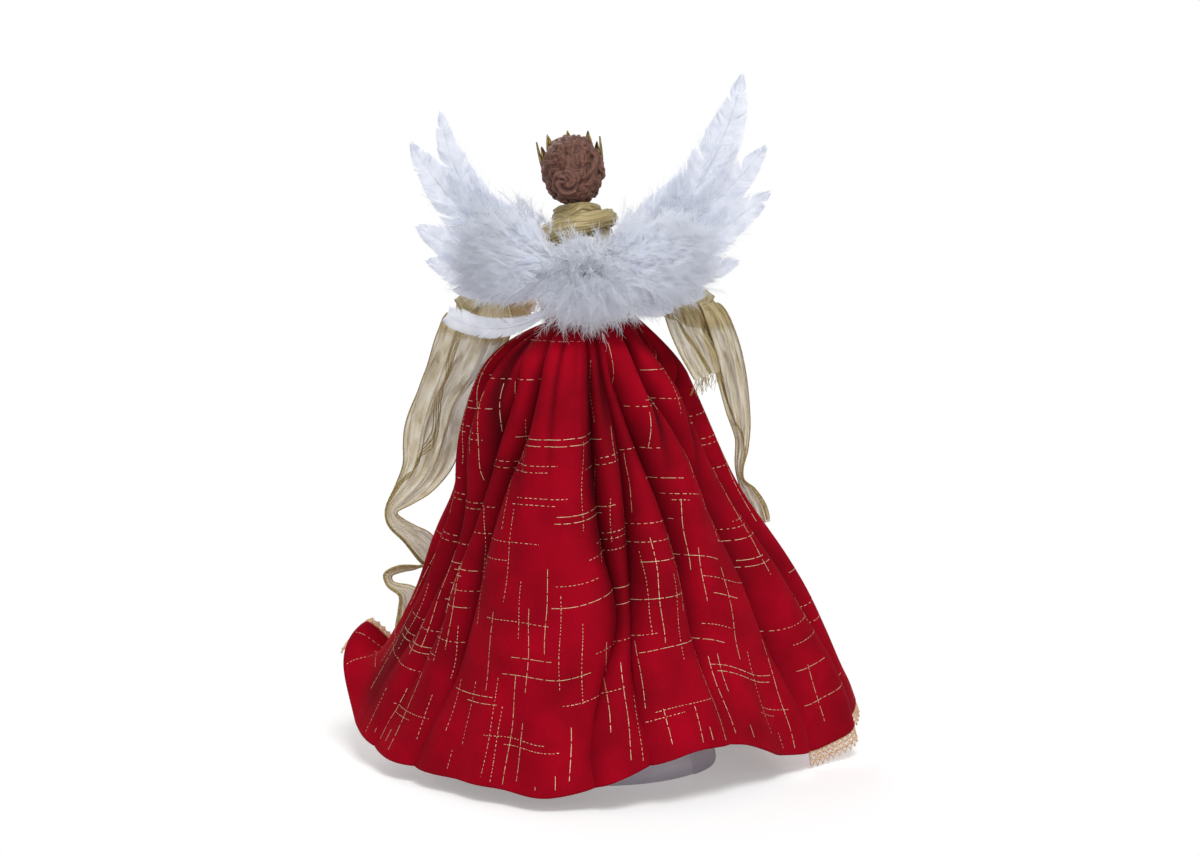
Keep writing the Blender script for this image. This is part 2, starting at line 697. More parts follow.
CAP_HALVES = (12.7, 14.5, 16.0)
CAP_SUNK = 4.5  # how deep the cap lies under the skin where the face and the neck are bare
FACE_ARCH = (8.6, 75.5, 12.5)  # half-width, centre height and half-height of the hairline
HAIR_VOXEL = 0.36
HAIR_CARVE = (0.35, 0.26, 0.13)  # how deep locks, strands and comb lines are cut
COMBED_STRANDS = 44
NAPE_STRANDS = 16
STRAND_POINTS = 22
STRAND_RADII = (0.7, 1.5)
BUN_PLACE = (-3.6, -12.6, 75.5)
BUN_RADIUS = 7.0
BUN_DOME = 3.6
BUN_COILS = [(0.0, 1.0, 0.0), (2.1, 0.93, 0.5), (4.2, 0.97, 0.3)]  # start, share of the radius, lift
COIL_TURNS = 1.15
COIL_RADIUS = 1.25
# Where strands run into the bun, as directions from the head's middle: its middle, up, and half-size
BUN_TOWARD = np.array([-0.26, -0.94, -0.22])
BUN_UP = np.array([0, -0.26, 0.966])
BUN_EDGE = 0.42
# Each curl on a side: climb, degrees from the back, size
CURLS = [
    (0.28, 92, 2.6), (0.08, 74, 3.3), (-0.12, 96, 3.4), (-0.3, 66, 3.3), (-0.42, 98, 3.2),
    (-0.58, 72, 3.2), (-0.66, 104, 2.7), (-0.74, 46, 3.2), (-0.84, 16, 2.9), (0.5, 70, 3.0),
    (0.68, 36, 3.2), (0.84, 110, 2.8),
]
CURL_TURNS = 1.7
CURL_RADIUS = 0.95


def hair_resin():
    """Cast resin under brown paint: matt, dark in the carved grooves and rubbed paler on the strands."""
    look = {"Base Color": linear("#633F34"), "Roughness": 0.6, "Specular IOR Level": 0.3}
    material, tree, shader = new_surface("brown_painted_resin", look)
    relief = add(tree, "Attribute", attribute_name="relief").outputs["Fac"]
    tone = ramp(tree, relief, (0.2, "#371F19"), (0.5, "#634035"), (0.85, "#7E5548"))
    plug(tree, shader, {"Base Color": tone, "Normal": bumped(tree, noise(tree, 0.8), 0.15, 0.2)})
    return material


def relief_paint(made, rounds, span):
    """Marks how far each vertex stands out of its smoothed surroundings, 0 in a groove to 1 on a ridge."""
    places = vertex_vectors(made, "co") / MM
    pairs = np.empty(len(made.data.edges) * 2, np.int32)
    made.data.edges.foreach_get("vertices", pairs)
    pairs = pairs.reshape(-1, 2)
    count = np.bincount(pairs.ravel(), minlength=len(places))[:, None]
    smooth = places.copy()
    for _ in range(rounds):
        total = np.zeros_like(smooth)
        np.add.at(total, pairs[:, 0], smooth[pairs[:, 1]])
        np.add.at(total, pairs[:, 1], smooth[pairs[:, 0]])
        smooth = total / np.maximum(count, 1)
    height = np.sum((places - smooth) * vertex_vectors(made, "normal"), axis=1)
    paint(made, "relief", np.clip(0.5 + height / span, 0, 1))


def bezier(start, bend, end, t):
    """Places on a simple bent line."""
    return (1 - t) ** 2 * start + 2 * t * (1 - t) * bend + t * t * end


def toward(climb, turn):
    """A direction from the head's middle. The turn runs from the back towards +X."""
    level = math.sqrt(1 - climb**2)
    return np.array([level * math.sin(turn), -level * math.cos(turn), climb])


def into_bun(around):
    """The direction of a place on the bun's edge."""
    return BUN_TOWARD + BUN_EDGE * (np.array([1, 0, 0]) * math.sin(around) + BUN_UP * math.cos(around))


def on_cap(ways, out):
    """Places on the cap of hair, in the directions of vectors from the head's middle."""
    ways = unit(ways)
    return egg_places(ways[..., 2], np.arctan2(ways[..., 0], -ways[..., 1]), CAP_HALVES, 0, out)


def on_bun(reach, turn, out):
    """Places on the bun: away from its middle, round it, and out from the head."""
    x, y, z = BUN_PLACE
    return xyz(x + reach * np.sin(turn), y - out, z + reach * np.cos(turn))


angle, climb = egg_grid(120, 90, 0.03)
x, y, z = np.moveaxis(egg_places(climb, angle, CAP_HALVES, 0, 0 * climb), -1, 0)
arch = np.hypot(x / FACE_ARCH[0], np.maximum(z - FACE_ARCH[1], 0) / FACE_ARCH[2])
bare_face = smoothstep(1.04, 0.92, arch) * smoothstep(1, 4, y)
bare_neck = smoothstep(69, 67, z) * smoothstep(-6, -3.5, y)
cap = egg_places(climb, angle, CAP_HALVES, 0, -CAP_SUNK * np.maximum(bare_face, bare_neck))

rng = np.random.default_rng(11)
strands = []
t = np.linspace(0, 1, STRAND_POINTS)[:, None]
for sweep in np.linspace(-1, 1, COMBED_STRANDS):
    start = toward(0.66 * math.cos(sweep * 1.35) + 0.06, np.pi - sweep * 1.6)
    end = into_bun(sweep * 2.5 + 0.5)
    crown = np.array([0.1 * sweep, 0.05, 0.75 * (1 - sweep**2)])
    path = bezier(start, crown + (start + end) * 0.5, end, t)
    sideways = unit(np.cross(end - start, path))
    lock = 0.12 * np.sin(t * 7 + 1.9 * round(sweep * 4)) * np.sin(np.pi * t)
    path = path + sideways * (lock + 0.03 * np.sin(t * 13 + rng.uniform(0, 6)))
    strands.append(on_cap(path, (np.sin(np.pi * t) * rng.uniform(0, 0.7))[:, 0]))
for sweep in np.linspace(-1, 1, NAPE_STRANDS):
    start = np.array([0.8 * math.sin(sweep * 1.2), -0.55 - 0.2 * math.cos(sweep), -0.78])
    end = into_bun(math.pi - sweep * 1.6)
    strands.append(on_cap(start + (end - start) * t, 0.4 + 0.3 * np.sin(np.pi * t[:, 0])))
strand_radius = np.repeat(rng.uniform(*STRAND_RADII, (len(strands), 1)), STRAND_POINTS, axis=1)
combed = tube_mesh(leaned(np.array(strands)), strand_radius, 8)

coil = np.linspace(0, 1, 90)
coils = []
for start, reach_share, lift in BUN_COILS:
    reach = BUN_RADIUS * reach_share * (1 - 0.86 * coil) - 0.6
    turned = start + coil * 2 * np.pi * COIL_TURNS + 0.35 * np.sin(coil * 9 + start)
    dome = BUN_DOME * np.sqrt(np.maximum(1 - (reach / (BUN_RADIUS + 0.5)) ** 2, 0)) + lift
    coils.append(on_bun(reach, turned, dome))
bun = tube_mesh(leaned(np.array(coils)), COIL_RADIUS, 10)
bun_rings = []
for depth in np.linspace(-3, 3.2, 10):
    wide = BUN_RADIUS * 0.93 * math.sqrt(max(1 - (depth / BUN_DOME) ** 2, 0.02))
    bun_rings.append(on_bun(wide, full_turn(40), depth))
bun_core = ring_mesh(leaned(np.array(bun_rings)))

curls = []
t = np.linspace(0, 1, 30)[:, None]
for side in SIDES.values():
    for climb_at, turn_at, size in CURLS:
        out = toward(climb_at, side * math.radians(turn_at))
        right = unit(np.cross([0, 0, 1], out))
        over = np.cross(out, right)
        spin = rng.uniform(0, 6) + t * 2 * np.pi * CURL_TURNS * rng.choice([-1, 1])
        reach = size * (1 - 0.75 * t)
        base = on_cap(out[None], np.array([0.2]))
        swirl = base + right * reach * np.cos(spin) + over * reach * np.sin(spin)
        curls.append(swirl + out * (0.3 + 1.3 * t))
curled = tube_mesh(leaned(np.array(curls)), CURL_RADIUS, 8)
moulded = merged(ring_mesh(leaned(cap)), combed, bun, bun_core, curled)
hair = piece("carved_hair", moulded, hair_resin(), "root", "hair_resin", "hair")
fused(hair, HAIR_VOXEL)


def carve_locks(made):
    """Cuts wavy locks and finer strands into the hair, all flowing round the bun."""
    places = vertex_vectors(made, "co") / MM
    x, y, z = (upright(places) - np.array([BUN_PLACE[0], 0, BUN_PLACE[2]])).T
    far = np.hypot(x, z)
    turn = np.arctan2(x, z)
    warp = 1.5 * np.sin(0.42 * x + 1.1 * np.sin(0.5 * z)) + 1.2 * np.sin(0.55 * z - 0.6 * y + 1.3)
    lock = np.sin(3 * turn + 0.75 * far + warp)
    strand = 1 - np.abs(np.sin(4 * turn + 0.8 * far + 1.8 * warp + 0.9 * np.sin(0.6 * z + 0.5 * x)))
    combed_line = np.sin(23 * turn + 3.6 * far + 5 * warp)
    height = HAIR_CARVE[0] * lock - HAIR_CARVE[1] * strand**2 + HAIR_CARVE[2] * combed_line
    carved = (places + vertex_vectors(made, "normal") * height[:, None]) * MM
    made.data.vertices.foreach_set("co", carved.astype(np.float32).ravel())
    made.data.update()


carve_locks(hair)
relief_paint(hair, rounds=14, span=1.1)

# Tiara: a stamped and bent brass band from ear to ear over the brow, with nine leaf-shaped rays and a
# beaded foot, antiqued dark in its recesses.

TIARA_SHEET = 0.7
TIARA_RAYS = 9
TIARA_BAND = 3
TIARA_HALVES = (13.2, 15, 17.4)  # the head with its hair, where the band lies
TIARA_TIP = 19  # over the head's middle, at the brow
TIARA_TIP_FALL = 4.5  # from the brow to the ears
TIARA_FOOT = -5  # over the head's middle, at the ears
TIARA_FOOT_RISE = 12  # from the ears to the brow
TIARA_SHORTER = 0.32  # what every second ray lacks
TIARA_LEAF = 0.55  # under 1, the rays' sides bulge
TIARA_FLARE = 0.08
TIARA_RIB = 0.55
TIARA_GROOVE = 0.3
TIARA_BEAD = 0.6
TIARA_BEADS = 34
TIARA_TILT = 0.06  # its lean to her left, more than the head's


def tiara_places(u, v, emboss):
    """Places on the band and rays, from ear (0) to ear (1) and from foot (0) to edge (1)."""
    angle = (u - 0.5) * np.pi
    foot = HEAD_RISE + TIARA_FOOT + TIARA_FOOT_RISE * np.cos(angle)
    ray = np.abs((u * TIARA_RAYS) % 1 - 0.5) * 2
    shorter = 1 - TIARA_SHORTER * (np.floor(u * TIARA_RAYS) % 2)
    above = HEAD_RISE + TIARA_TIP - TIARA_TIP_FALL * (1 - np.cos(angle)) - foot - TIARA_BAND
    tall = TIARA_BAND + above * shorter * (1 - ray) ** TIARA_LEAF
    climb = (foot - HEAD_RISE) / TIARA_HALVES[2]
    around = np.sqrt(1 - climb**2)
    rib = TIARA_RIB * bell(ray / 0.16) * v * (1 - v) * 4
    groove = TIARA_GROOVE * bell((v * tall - 2) / 0.5)
    off = 1.0 + v * tall * TIARA_FLARE + emboss * (rib - groove)
    x = (TIARA_HALVES[0] * jaw_share(climb) * around + off) * np.sin(angle)
    x = x - TIARA_TILT * (foot + v * tall - HEAD_RISE)
    return xyz(x, (TIARA_HALVES[1] * around + off) * np.cos(angle), foot + v * tall)


def round_beads(centres, radius):
    """Small round beads."""
    turn, rise = np.meshgrid(full_turn(10), np.linspace(-1.35, 1.35, 7))
    ball = xyz(np.cos(rise) * np.cos(turn), np.cos(rise) * np.sin(turn), np.sin(rise)) * radius
    return merged(*[ring_mesh(ball + centre) for centre in centres])


def antiqued_brass():
    """Stamped brass, darkened and rubbed back: dull gold with brown-black tarnish in patches."""
    look = {"Base Color": linear("#8C7748"), "Metallic": 1.0, "Roughness": 0.4}
    material, tree, shader = new_surface("antiqued_brass", look)
    tarnish = noise(tree, 2.2, 5.0)
    shine = add(tree, "MapRange", {"Value": tarnish, "To Min": 0.6, "To Max": 0.3})
    tone = ramp(tree, tarnish, (0.36, "#4C3F26"), (0.66, "#A58D58"))
    normal = bumped(tree, tarnish, 0.3, 0.2)
    plug(tree, shader, {"Base Color": tone, "Roughness": shine.outputs["Result"], "Normal": normal})
    return material


u, v = grid(TIARA_RAYS * 24, 14)
stamped = sheet_mesh(leaned(tiara_places(u, v, 1)), TIARA_SHEET)
foot_beads = tiara_places(np.linspace(0.02, 0.98, TIARA_BEADS), 0.02, 0)
beads = round_beads(leaned(foot_beads), TIARA_BEAD)
piece("stamped_tiara", merged(stamped, beads), antiqued_brass(), "root", "antique_gold", "tiara")

# Collar: the middle of the stole, a gold organza ribbon wound round the neck and spread over the
# shoulders, with a second turn drawn across it.

COLLAR_CLOTH = 0.7
COLLAR_TOP = 62
COLLAR_TOP_DIP = 3.2  # higher than that behind, and lower in front
COLLAR_FOOT = 44.5
COLLAR_HALF = 10.5  # at its top
COLLAR_SPREAD = (8, 4)  # how much wider and deeper its foot is
COLLAR_BACK = 1
SECOND_TURN_HALF = 15.2
SECOND_TURN_RISE = 55
SECOND_TURN_WIDTH = 9.5
ORGANZA_CRINKLE = (1.7, 16)  # across and along the ribbon
ORGANZA_WEAVE = 0.45  # the real weave is finer; this is as fine as shows


def crinkled_organza(name, tones, sheer):
    """Gold organza: thin stiff yarns with a metal glint, crinkled along the ribbon.

    What is behind a sheer one shows through it.
    """
    look = {"Base Color": linear("#CDBD93"), "Roughness": 0.5, "Metallic": 0.1, "Sheen Weight": 0.1}
    material, tree, shader = new_surface(name, look)
    flat = add(tree, "TexCoord").outputs["UV"]
    long_ways = (1 / (ORGANZA_CRINKLE[0] * MM), 1 / (ORGANZA_CRINKLE[1] * MM), 1.0)
    drawn = add(tree, "VectorMath", {0: flat, 1: long_ways}, operation="MULTIPLY").outputs[0]
    streaks = {"Vector": drawn, "Scale": 1.0, "Detail": 4.0, "Roughness": 0.6, "Distortion": 0.6}
    crinkle = add(tree, "TexNoise", streaks).outputs["Fac"]
    tone = ramp(tree, crinkle, *zip((0.3, 0.46, 0.7), tones))
    yarns = {"Color1": linear("#FFFFFF"), "Color2": linear("#EDE6D4")}
    weave = add(tree, "TexChecker", {"Vector": flat, "Scale": 1 / (ORGANZA_WEAVE * MM), **yarns})
    both = {"Factor": 1.0, "A": tone, "B": weave.outputs["Color"]}
    woven = add(tree, "Mix", both, data_type="RGBA", blend_type="MULTIPLY").outputs["Result"]
    plug(tree, shader, {"Base Color": woven, "Normal": bumped(tree, crinkle, 0.6, 0.5)})
    if sheer:
        opening = {"From Min": 0.3, "From Max": 0.7, "To Min": 0.7, "To Max": 0.38}
        cover = add(tree, "MapRange", {"Value": crinkle, **opening}).outputs["Result"]
        doubled = add(tree, "Attribute", attribute_name="doubled").outputs["Fac"]
        layers = add(tree, "Math", {0: cover, 1: doubled}, operation="MAXIMUM", use_clamp=True)
        plug(tree, shader, {"Alpha": layers.outputs[0]})
    return material


def collar_places(u, v):
    """Places on the spread collar, round the neck (u) and from its top down (v)."""
    angle = u * 2 * np.pi
    spread = v**1.3
    fold = 0.7 * np.sin(5 * angle + 4 * v) * v
    fold = fold + 0.28 * np.sin(v * 31 + 3 * np.sin(2 * angle + 1) + 2.2 * np.sin(5 * angle))
    fold = fold + 0.16 * np.sin(v * 73 + 5 * np.sin(3 * angle) + 2 * np.sin(7 * angle + 4 * v))
    wide = COLLAR_HALF + COLLAR_SPREAD[0] * spread + fold
    deep = COLLAR_HALF + COLLAR_SPREAD[1] * spread + fold
    dip = COLLAR_TOP_DIP * np.cos(angle) * (1 - v)
    height = COLLAR_TOP + (COLLAR_FOOT - COLLAR_TOP) * v + dip
    return xyz(wide * np.sin(angle), -COLLAR_BACK - deep * np.cos(angle), height)


def second_turn_places(u, v):
    """Places on the second turn, which is drawn slanting round the neck (u), over its width (v)."""
    angle = u * 2 * np.pi
    across = (v - 0.5) * (SECOND_TURN_WIDTH - 2.5 * np.sin(angle))
    slant = 4.2 * np.sin(angle + 0.6) - 2.2
    crinkled = 0.2 * np.sin(v * 19 + 3 * np.sin(2 * angle) + np.sin(5 * angle))
    crinkled = crinkled + 0.12 * np.sin(v * 47 + 6 * np.sin(3 * angle))
    swell = 2.2 * bell((v - 0.5) / 0.42)
    wide = SECOND_TURN_HALF - 0.22 * across + crinkled + swell - 0.5 * np.sin(angle)
    height = SECOND_TURN_RISE + slant + across
    return xyz((wide + 1.6) * np.sin(angle), -COLLAR_BACK - wide * np.cos(angle), height)


def wound_ribbon(places):
    """The mesh of a ribbon wound round the neck, with its UV map along the ribbon."""
    points, faces, flat = sheet_mesh(leaned(places), COLLAR_CLOTH, loop=True)
    return points, faces, flat[:, ::-1]


gold = crinkled_organza("gold_organza", ("#A89058", "#D6C597", "#EFE5C9"), sheer=True)
wound_gold = crinkled_organza("gold_organza_in_layers", ("#7E6C42", "#A89768", "#C4B58C"), sheer=False)
thick_gold = crinkled_organza("gold_organza_over_wadding", ("#B09F72", "#D0C299", "#E6DCC0"), sheer=False)
u, v = grid(240, 60)
collar_mesh = wound_ribbon(collar_places(u, v))
collar = piece("stole_neck", collar_mesh, wound_gold, "root", "gold_organza", "stole_collar")

turn_mesh = wound_ribbon(second_turn_places(u, v))
second_turn = piece("stole_second_turn", turn_mesh, wound_gold, "root", "gold_organza")

# Arms: gathered sleeves stuffed with wadding over a bent wire, turning in the armholes, with small
# cast hands set in the cuffs.

ELBOW_RISE = {"left": 17, "right": 7}
SLEEVE_STATIONS = [(0, 7.6), (0.12, 8), (0.45, 7.6), (0.75, 7.6), (1, 9.3)]
SLEEVE_SIDES = 64
# The sleeve's rounded head: how far before the shoulder, and its radius there
SLEEVE_HEAD = [(-7.4, 2.2), (-6.6, 4.4), (-5, 6.2), (-3, 7.3), (-1.4, 7.6)]
SLEEVE_FOLD_MOST = 0.45
CUFF_CLOSING = [0.82, 0.5]  # shares of the radius, at the last two rings
HAND_LENGTH = 17
HAND_VOXEL = 0.34
HAND_SPAN = (-0.45, 0.62)  # shares of its length, from inside the cuff to the knuckles
PALM_WIDTHS = [(-0.45, 3.2), (0, 3.2), (0.25, 4.5), (0.5, 4.3), (0.62, 3.4)]
PALM_DEPTHS = [(-0.45, 3.2), (0, 3.1), (0.25, 2.3), (0.5, 1.9), (0.62, 1.3)]
FINGERS = (5.6, 7.0, 7.4, 6.4)
FINGER_PITCH = 2.05
FINGER_RADII = (1.15, 0.75)
FINGER_POINTS = 9


def place_along(line, run, at):
    """Places on a line, by how far along it they lie."""
    return np.stack([np.interp(at, run, axis) for axis in line.T], axis=-1)


def curve_through(points):
    """A smooth curve through points: takes shares of its length, gives places on it."""
    known = np.asarray(points, float)
    line = np.vstack([2 * known[0] - known[1], known, 2 * known[-1] - known[-2]])
    t = np.linspace(0, 1, 40, endpoint=False)[:, None]
    runs = []
    for a, b, c, d in zip(line, line[1:], line[2:], line[3:]):
        ab, bc, cd = (np.linalg.norm(far - near) ** 0.5 for near, far in ((a, b), (b, c), (c, d)))
        leave = ((b - a) / ab - (c - a) / (ab + bc) + (c - b) / bc) * bc
        arrive = ((c - b) / bc - (d - b) / (bc + cd) + (d - c) / cd) * bc
        square = 3 * (c - b) - 2 * leave - arrive
        cube = 2 * (b - c) + leave + arrive
        runs.append(b + leave * t + square * t**2 + cube * t**3)
    dense = np.vstack([*runs, known[-1:]])
    along = run_along(dense)
    return lambda share: place_along(dense, along, share * along[-1])


def arm_path(name, side):
    """The arm's middle line on the upright upper body, from shoulder to wrist."""
    elbow = ELBOW_RISE[name]
    return curve_through(
        [
            (side * SHOULDER_REACH, 0, SHOULDER_RISE),
            (side * 39.5, 1, (38 + elbow) / 2),
            (side * 55, 4, elbow),
            (side * 46.6, 23, elbow + 1),
            (side * 33, 42, 15),
        ]
    )


def sleeve_radii(share, side):
    """The sleeve's radius along it and round it, with its gathers, elbow creases and cuff."""
    share = share[:, None]
    around = full_turn(SLEEVE_SIDES)[None]
    gather = 0.35 * np.sin(11 * around + 3 * np.sin(9 * share)) * smoothstep(0.02, 0.12, share)
    crumple = 0.5 * np.sin(38 * share + 2 * np.sin(around + side)) * bell((share - 0.5) / 0.16)
    cuff = 0.4 * np.cos(14 * around) * smoothstep(0.88, 1, share)
    girth = through(SLEEVE_STATIONS)(share)
    girth[: len(SLEEVE_HEAD), 0] = [radius for _, radius in SLEEVE_HEAD]
    radii = girth + np.minimum(gather + crumple, SLEEVE_FOLD_MOST) + cuff
    radii[-2:] *= np.array(CUFF_CLOSING)[:, None]
    return radii


def hand_mesh(line, side):
    """A palm and five fingers at the end of an arm's line."""
    reach = unit(line[-1] - line[-4])
    level = unit(np.cross(reach, [0, 0, 1]))
    over = np.cross(level, reach)
    t = np.linspace(*HAND_SPAN, 18)
    lift = np.array([0, 0, 1]) * (1.6 * np.maximum(t, 0) ** 2)[:, None]
    palm_line = line[-1] + reach * (t * HAND_LENGTH)[:, None] + lift
    spin = full_turn(24)
    deep = level * (through(PALM_DEPTHS)(t)[:, None] * np.cos(spin))[..., None]
    wide = over * (through(PALM_WIDTHS)(t)[:, None] * np.sin(spin))[..., None]
    palm = palm_line[:, None] + deep + wide
    t = np.linspace(0, 1, FINGER_POINTS)[:, None]
    fingers = []
    for k, length in enumerate(FINGERS):
        knuckle = palm_line[-3] + over * (k - 1.5) * FINGER_PITCH
        fan = reach + over * (k - 1.5) * 0.06
        bend = level * side * 1.3 * t**2
        fingers.append(knuckle + fan * length * t + bend + np.array([0, 0, 1.2]) * t**2)
    fingers.append(palm_line[8] + over * 3 + (over * 4 + reach * 4.5 - level * side * 1.2) * t)
    slim = np.linspace(*FINGER_RADII, FINGER_POINTS)[None]
    return merged(ring_mesh(leaned(palm)), tube_mesh(leaned(np.array(fingers)), slim, 10))


for name, side in SIDES.items():
    share = np.linspace(0, 1, 110)
    line = arm_path(name, side)(share)
    before = np.array([back for back, _ in SLEEVE_HEAD])[:, None]
    line = np.concatenate([line[0] + unit(line[1] - line[0]) * before, line])
    radii = sleeve_radii(np.r_[np.zeros(len(SLEEVE_HEAD)), share], side)
    sleeve_mesh = tube_mesh(leaned(line)[None], radii[None], SLEEVE_SIDES)
    sleeve_name = f"{name}_stuffed_sleeve"
    sleeve = piece(sleeve_name, sleeve_mesh, thick_gold, f"{name}_arm", "gold_organza", f"{name}_sleeve")
    cast_hand = hand_mesh(line, side)
    hand = piece(f"{name}_resin_hand", cast_hand, resin, f"{name}_arm", "painted_resin", f"{name}_hand")
    fused(hand, HAND_VOXEL)

# Gown: the ivory satin front of the skirt, cut as one panel, gathered into the waist and falling in
# soft flutes. Its side edges run under the robe.

GOWN_CLOTH = 1.0
GOWN_WAIST_TURN = math.radians(84)
GOWN_HEM_TURN = math.radians(94)
GOWN_HEM_REACH = (82, 100)
GOWN_HEM_RISE = 4
GOWN_SIDE_RISE = 14  # more at its side edges, under the robe
GOWN_SWELL = 9
GOWN_FLUTES = 8
GOWN_FLUTE_DEPTH = 3
GOWN_HEM_ROLL = 1.1
WAIST_OUT = 1.7  # from the torso to the bodice's face
SATIN_FLOAT = 0.7  # the width of one woven float
BELLY = 6.75  # makes the swell 1 where it is most


def waist_places(angle, grow, rise):
    """Places round the waist, outside the bodice."""
    return leaned(torso_places(angle, BODICE_BOTTOM + rise + 0 * angle, WAIST_OUT + grow))


def belly(v):
    """How far a skirt swells out of a straight fall, most at a third of the way down."""
    return BELLY * v * (1 - v) ** 2


def gown_places(u, v):
    """Places on the front panel, across (u) and down (v)."""
    side = 2 * u - 1
    top = waist_places(np.pi - side * GOWN_WAIST_TURN, 0.9, 2)
    turn = side * GOWN_HEM_TURN
    hem_rise = GOWN_HEM_RISE + GOWN_SIDE_RISE * smoothstep(0.72, 1, np.abs(side))
    hem = xyz(GOWN_HEM_REACH[0] * np.sin(turn), GOWN_HEM_REACH[1] * np.cos(turn), hem_rise)
    out = unit(hem * np.array([1, 1, 0]))
    flute = GOWN_FLUTE_DEPTH * np.cos(GOWN_FLUTES * np.pi * side) * smoothstep(0, 0.5, v)
    flute = flute - GOWN_FLUTE_DEPTH * v
    gathers = 0.45 * np.sin(96 * side + 2 * np.sin(17 * side))
    gathers = gathers * smoothstep(0, 0.06, v) * smoothstep(0.5, 0.1, v)
    minor = 0.7 * np.sin(41 * side + 4 * v) * smoothstep(0.25, 0.7, v)
    stand_out = GOWN_SWELL * belly(v) + flute + gathers + minor
    return top + (hem - top) * v[..., None] + out * stand_out[..., None]


def ivory_satin():
    """Satin-woven polyester: long floats give a soft shine along the fall and hardly any weave."""
    look = {"Base Color": linear("#EFE6D2"), "Roughness": 0.36, "Sheen Weight": 0.15, "Anisotropic": 0.4}
    material, tree, shader = new_surface("ivory_satin", look)
    flat = add(tree, "TexCoord").outputs["UV"]
    bands = {"Vector": flat, "Scale": math.pi / (10 * SATIN_FLOAT * MM), "Distortion": 1.5, "Detail": 2.0}
    floats = add(tree, "TexWave", bands, wave_type="BANDS", bands_direction="X").outputs["Fac"]
    tone = ramp(tree, floats, (0, "#E8DDC6"), (1, "#F4ECDB"))
    plug(tree, shader, {"Base Color": tone, "Normal": bumped(tree, floats, 0.1, 0.1)})
    return material


satin = ivory_satin()
u, v = grid(300, 90)
fall = gown_places(u, v)
gown = piece("satin_gown_front", sheet_mesh(fall, GOWN_CLOTH), satin, "root", "ivory_satin", "gown_front")
hem_roll = piece("gown_rolled_hem", tube_mesh(fall[-1][None], GOWN_HEM_ROLL, 8), satin, "root", "ivory_satin")

# Robe: red velvet with broken gold threads, cut as part of a circle, gathered hard at the waist and
# open in front. It stands out at the hips and falls in heavy folds to an uneven hem.

ROBE_CLOTH = 1.3
ROBE_TURN = (-125, 108)  # degrees from the back to its front edges, at the waist
ROBE_HEM = [
    (-103, 42, 34), (-118, 18, 28), (-116, -12, 16), (-99, -40, 9), (-76, -64, 8),
    (-50, -86, 8), (-20, -100, 7), (10, -100, 15), (40, -88, 24), (66, -68, 23),
    (86, -42, 11), (106, -20, 9), (125, 6, 18), (119, 32, 28),
]
ROBE_GATHER = [(0, 11), (0.2, 22), (0.5, 15), (0.8, 8), (1, 4)]
ROBE_SPRING = 0.13  # share of the drop where the gathers stand out most
ROBE_BELLY = [(0, 2), (0.5, 4), (0.8, 4), (1, 2)]
# How far each side stands out or in, down the robe
ROBE_LEFT_LINE = [
    (0, 0), (0.15, -1.5), (0.28, -1.5), (0.43, -6), (0.55, -5.5), (0.66, -4), (0.8, -0.3), (1, 0),
]
ROBE_RIGHT_LINE = [
    (0, 0), (0.15, -2.5), (0.25, -3.5), (0.45, -2.5), (0.62, 4.7), (0.8, 9.3), (0.93, 4.6), (1, 0),
]
ROBE_TURNED_IN = 4  # how far the right front edge turns in behind the side
ROBE_TUCK = 4  # how far it falls in above the hem
# The folds' valleys, each a line of (share down, share across); round ridges stand between them
ROBE_VALLEYS = [
    [(0, -0.15), (1, -0.15)],
    [(0, 0.12), (1, 0.10)],
    [(0, 0.22), (0.3, 0.19), (1, 0.145)],
    [(0, 0.30), (0.15, 0.312), (0.3, 0.28), (0.5, 0.232), (0.7, 0.215), (1, 0.19)],
    [(0, 0.386), (0.2, 0.373), (0.43, 0.31), (0.7, 0.283), (1, 0.265)],
    [(0, 0.523), (0.28, 0.521), (0.47, 0.533), (0.66, 0.555), (0.82, 0.52), (0.92, 0.505), (1, 0.51)],
    [(0, 0.55), (0.3, 0.587), (0.54, 0.586), (0.66, 0.58), (0.8, 0.57), (1, 0.575)],
    [(0, 0.575), (0.14, 0.60), (0.31, 0.638), (0.43, 0.662), (0.57, 0.673), (1, 0.68)],
    [(0, 0.665), (0.13, 0.69), (0.27, 0.75), (0.42, 0.80), (0.58, 0.82), (0.84, 0.83), (1, 0.835)],
    [(0, 0.76), (0.1, 0.82), (0.18, 0.865), (0.5, 0.91), (1, 0.93)],
    [(0, 1.15), (1, 1.15)],
]
ROBE_RIDGE = 13  # the most that a ridge stands over its valleys
ROBE_LEVEL = 0.78  # share of it that lies under the robe's even line
ROBE_SINK = 4  # how far the folds lie in, so that the domes don't stand too far out
ROBE_DOME = (0.24, 6.5)  # how far a ridge rounds up: as a share of its width, and the most
ROBE_VALLEY = (2.6, 7)  # how wide a valley opens, at the waist and at the hem
ROBE_PLEATS = 30
ROBE_DARKEST = 0.85  # the most that a fold is shaded
ROBE_CORNER = (-14, -6, 23)
ROBE_NOTCH = (2, 0, -12)  # how far the left front edge sags above its corner
ROBE_DROP = 215
ROBE_WAIST_ROUND = 80
ROBE_HEM_ROUND = 470

robe_hem = curve_through(ROBE_HEM)
robe_gather = through(ROBE_GATHER)
robe_belly = through(ROBE_BELLY)
left_line = through(ROBE_LEFT_LINE)
right_line = through(ROBE_RIGHT_LINE)
rng = np.random.default_rng(5)
pleat_at = np.sort(rng.uniform(0, 1, ROBE_PLEATS))
pleat_depth = rng.uniform(1.0, 2.7, ROBE_PLEATS) * rng.choice([-1, -1, 1], ROBE_PLEATS)
pleat_wide = rng.uniform(0.9, 1.5, ROBE_PLEATS)
pleat_run = rng.uniform(0.25, 0.6, ROBE_PLEATS)
ripple_at = rng.uniform(0, 6.3, 6)


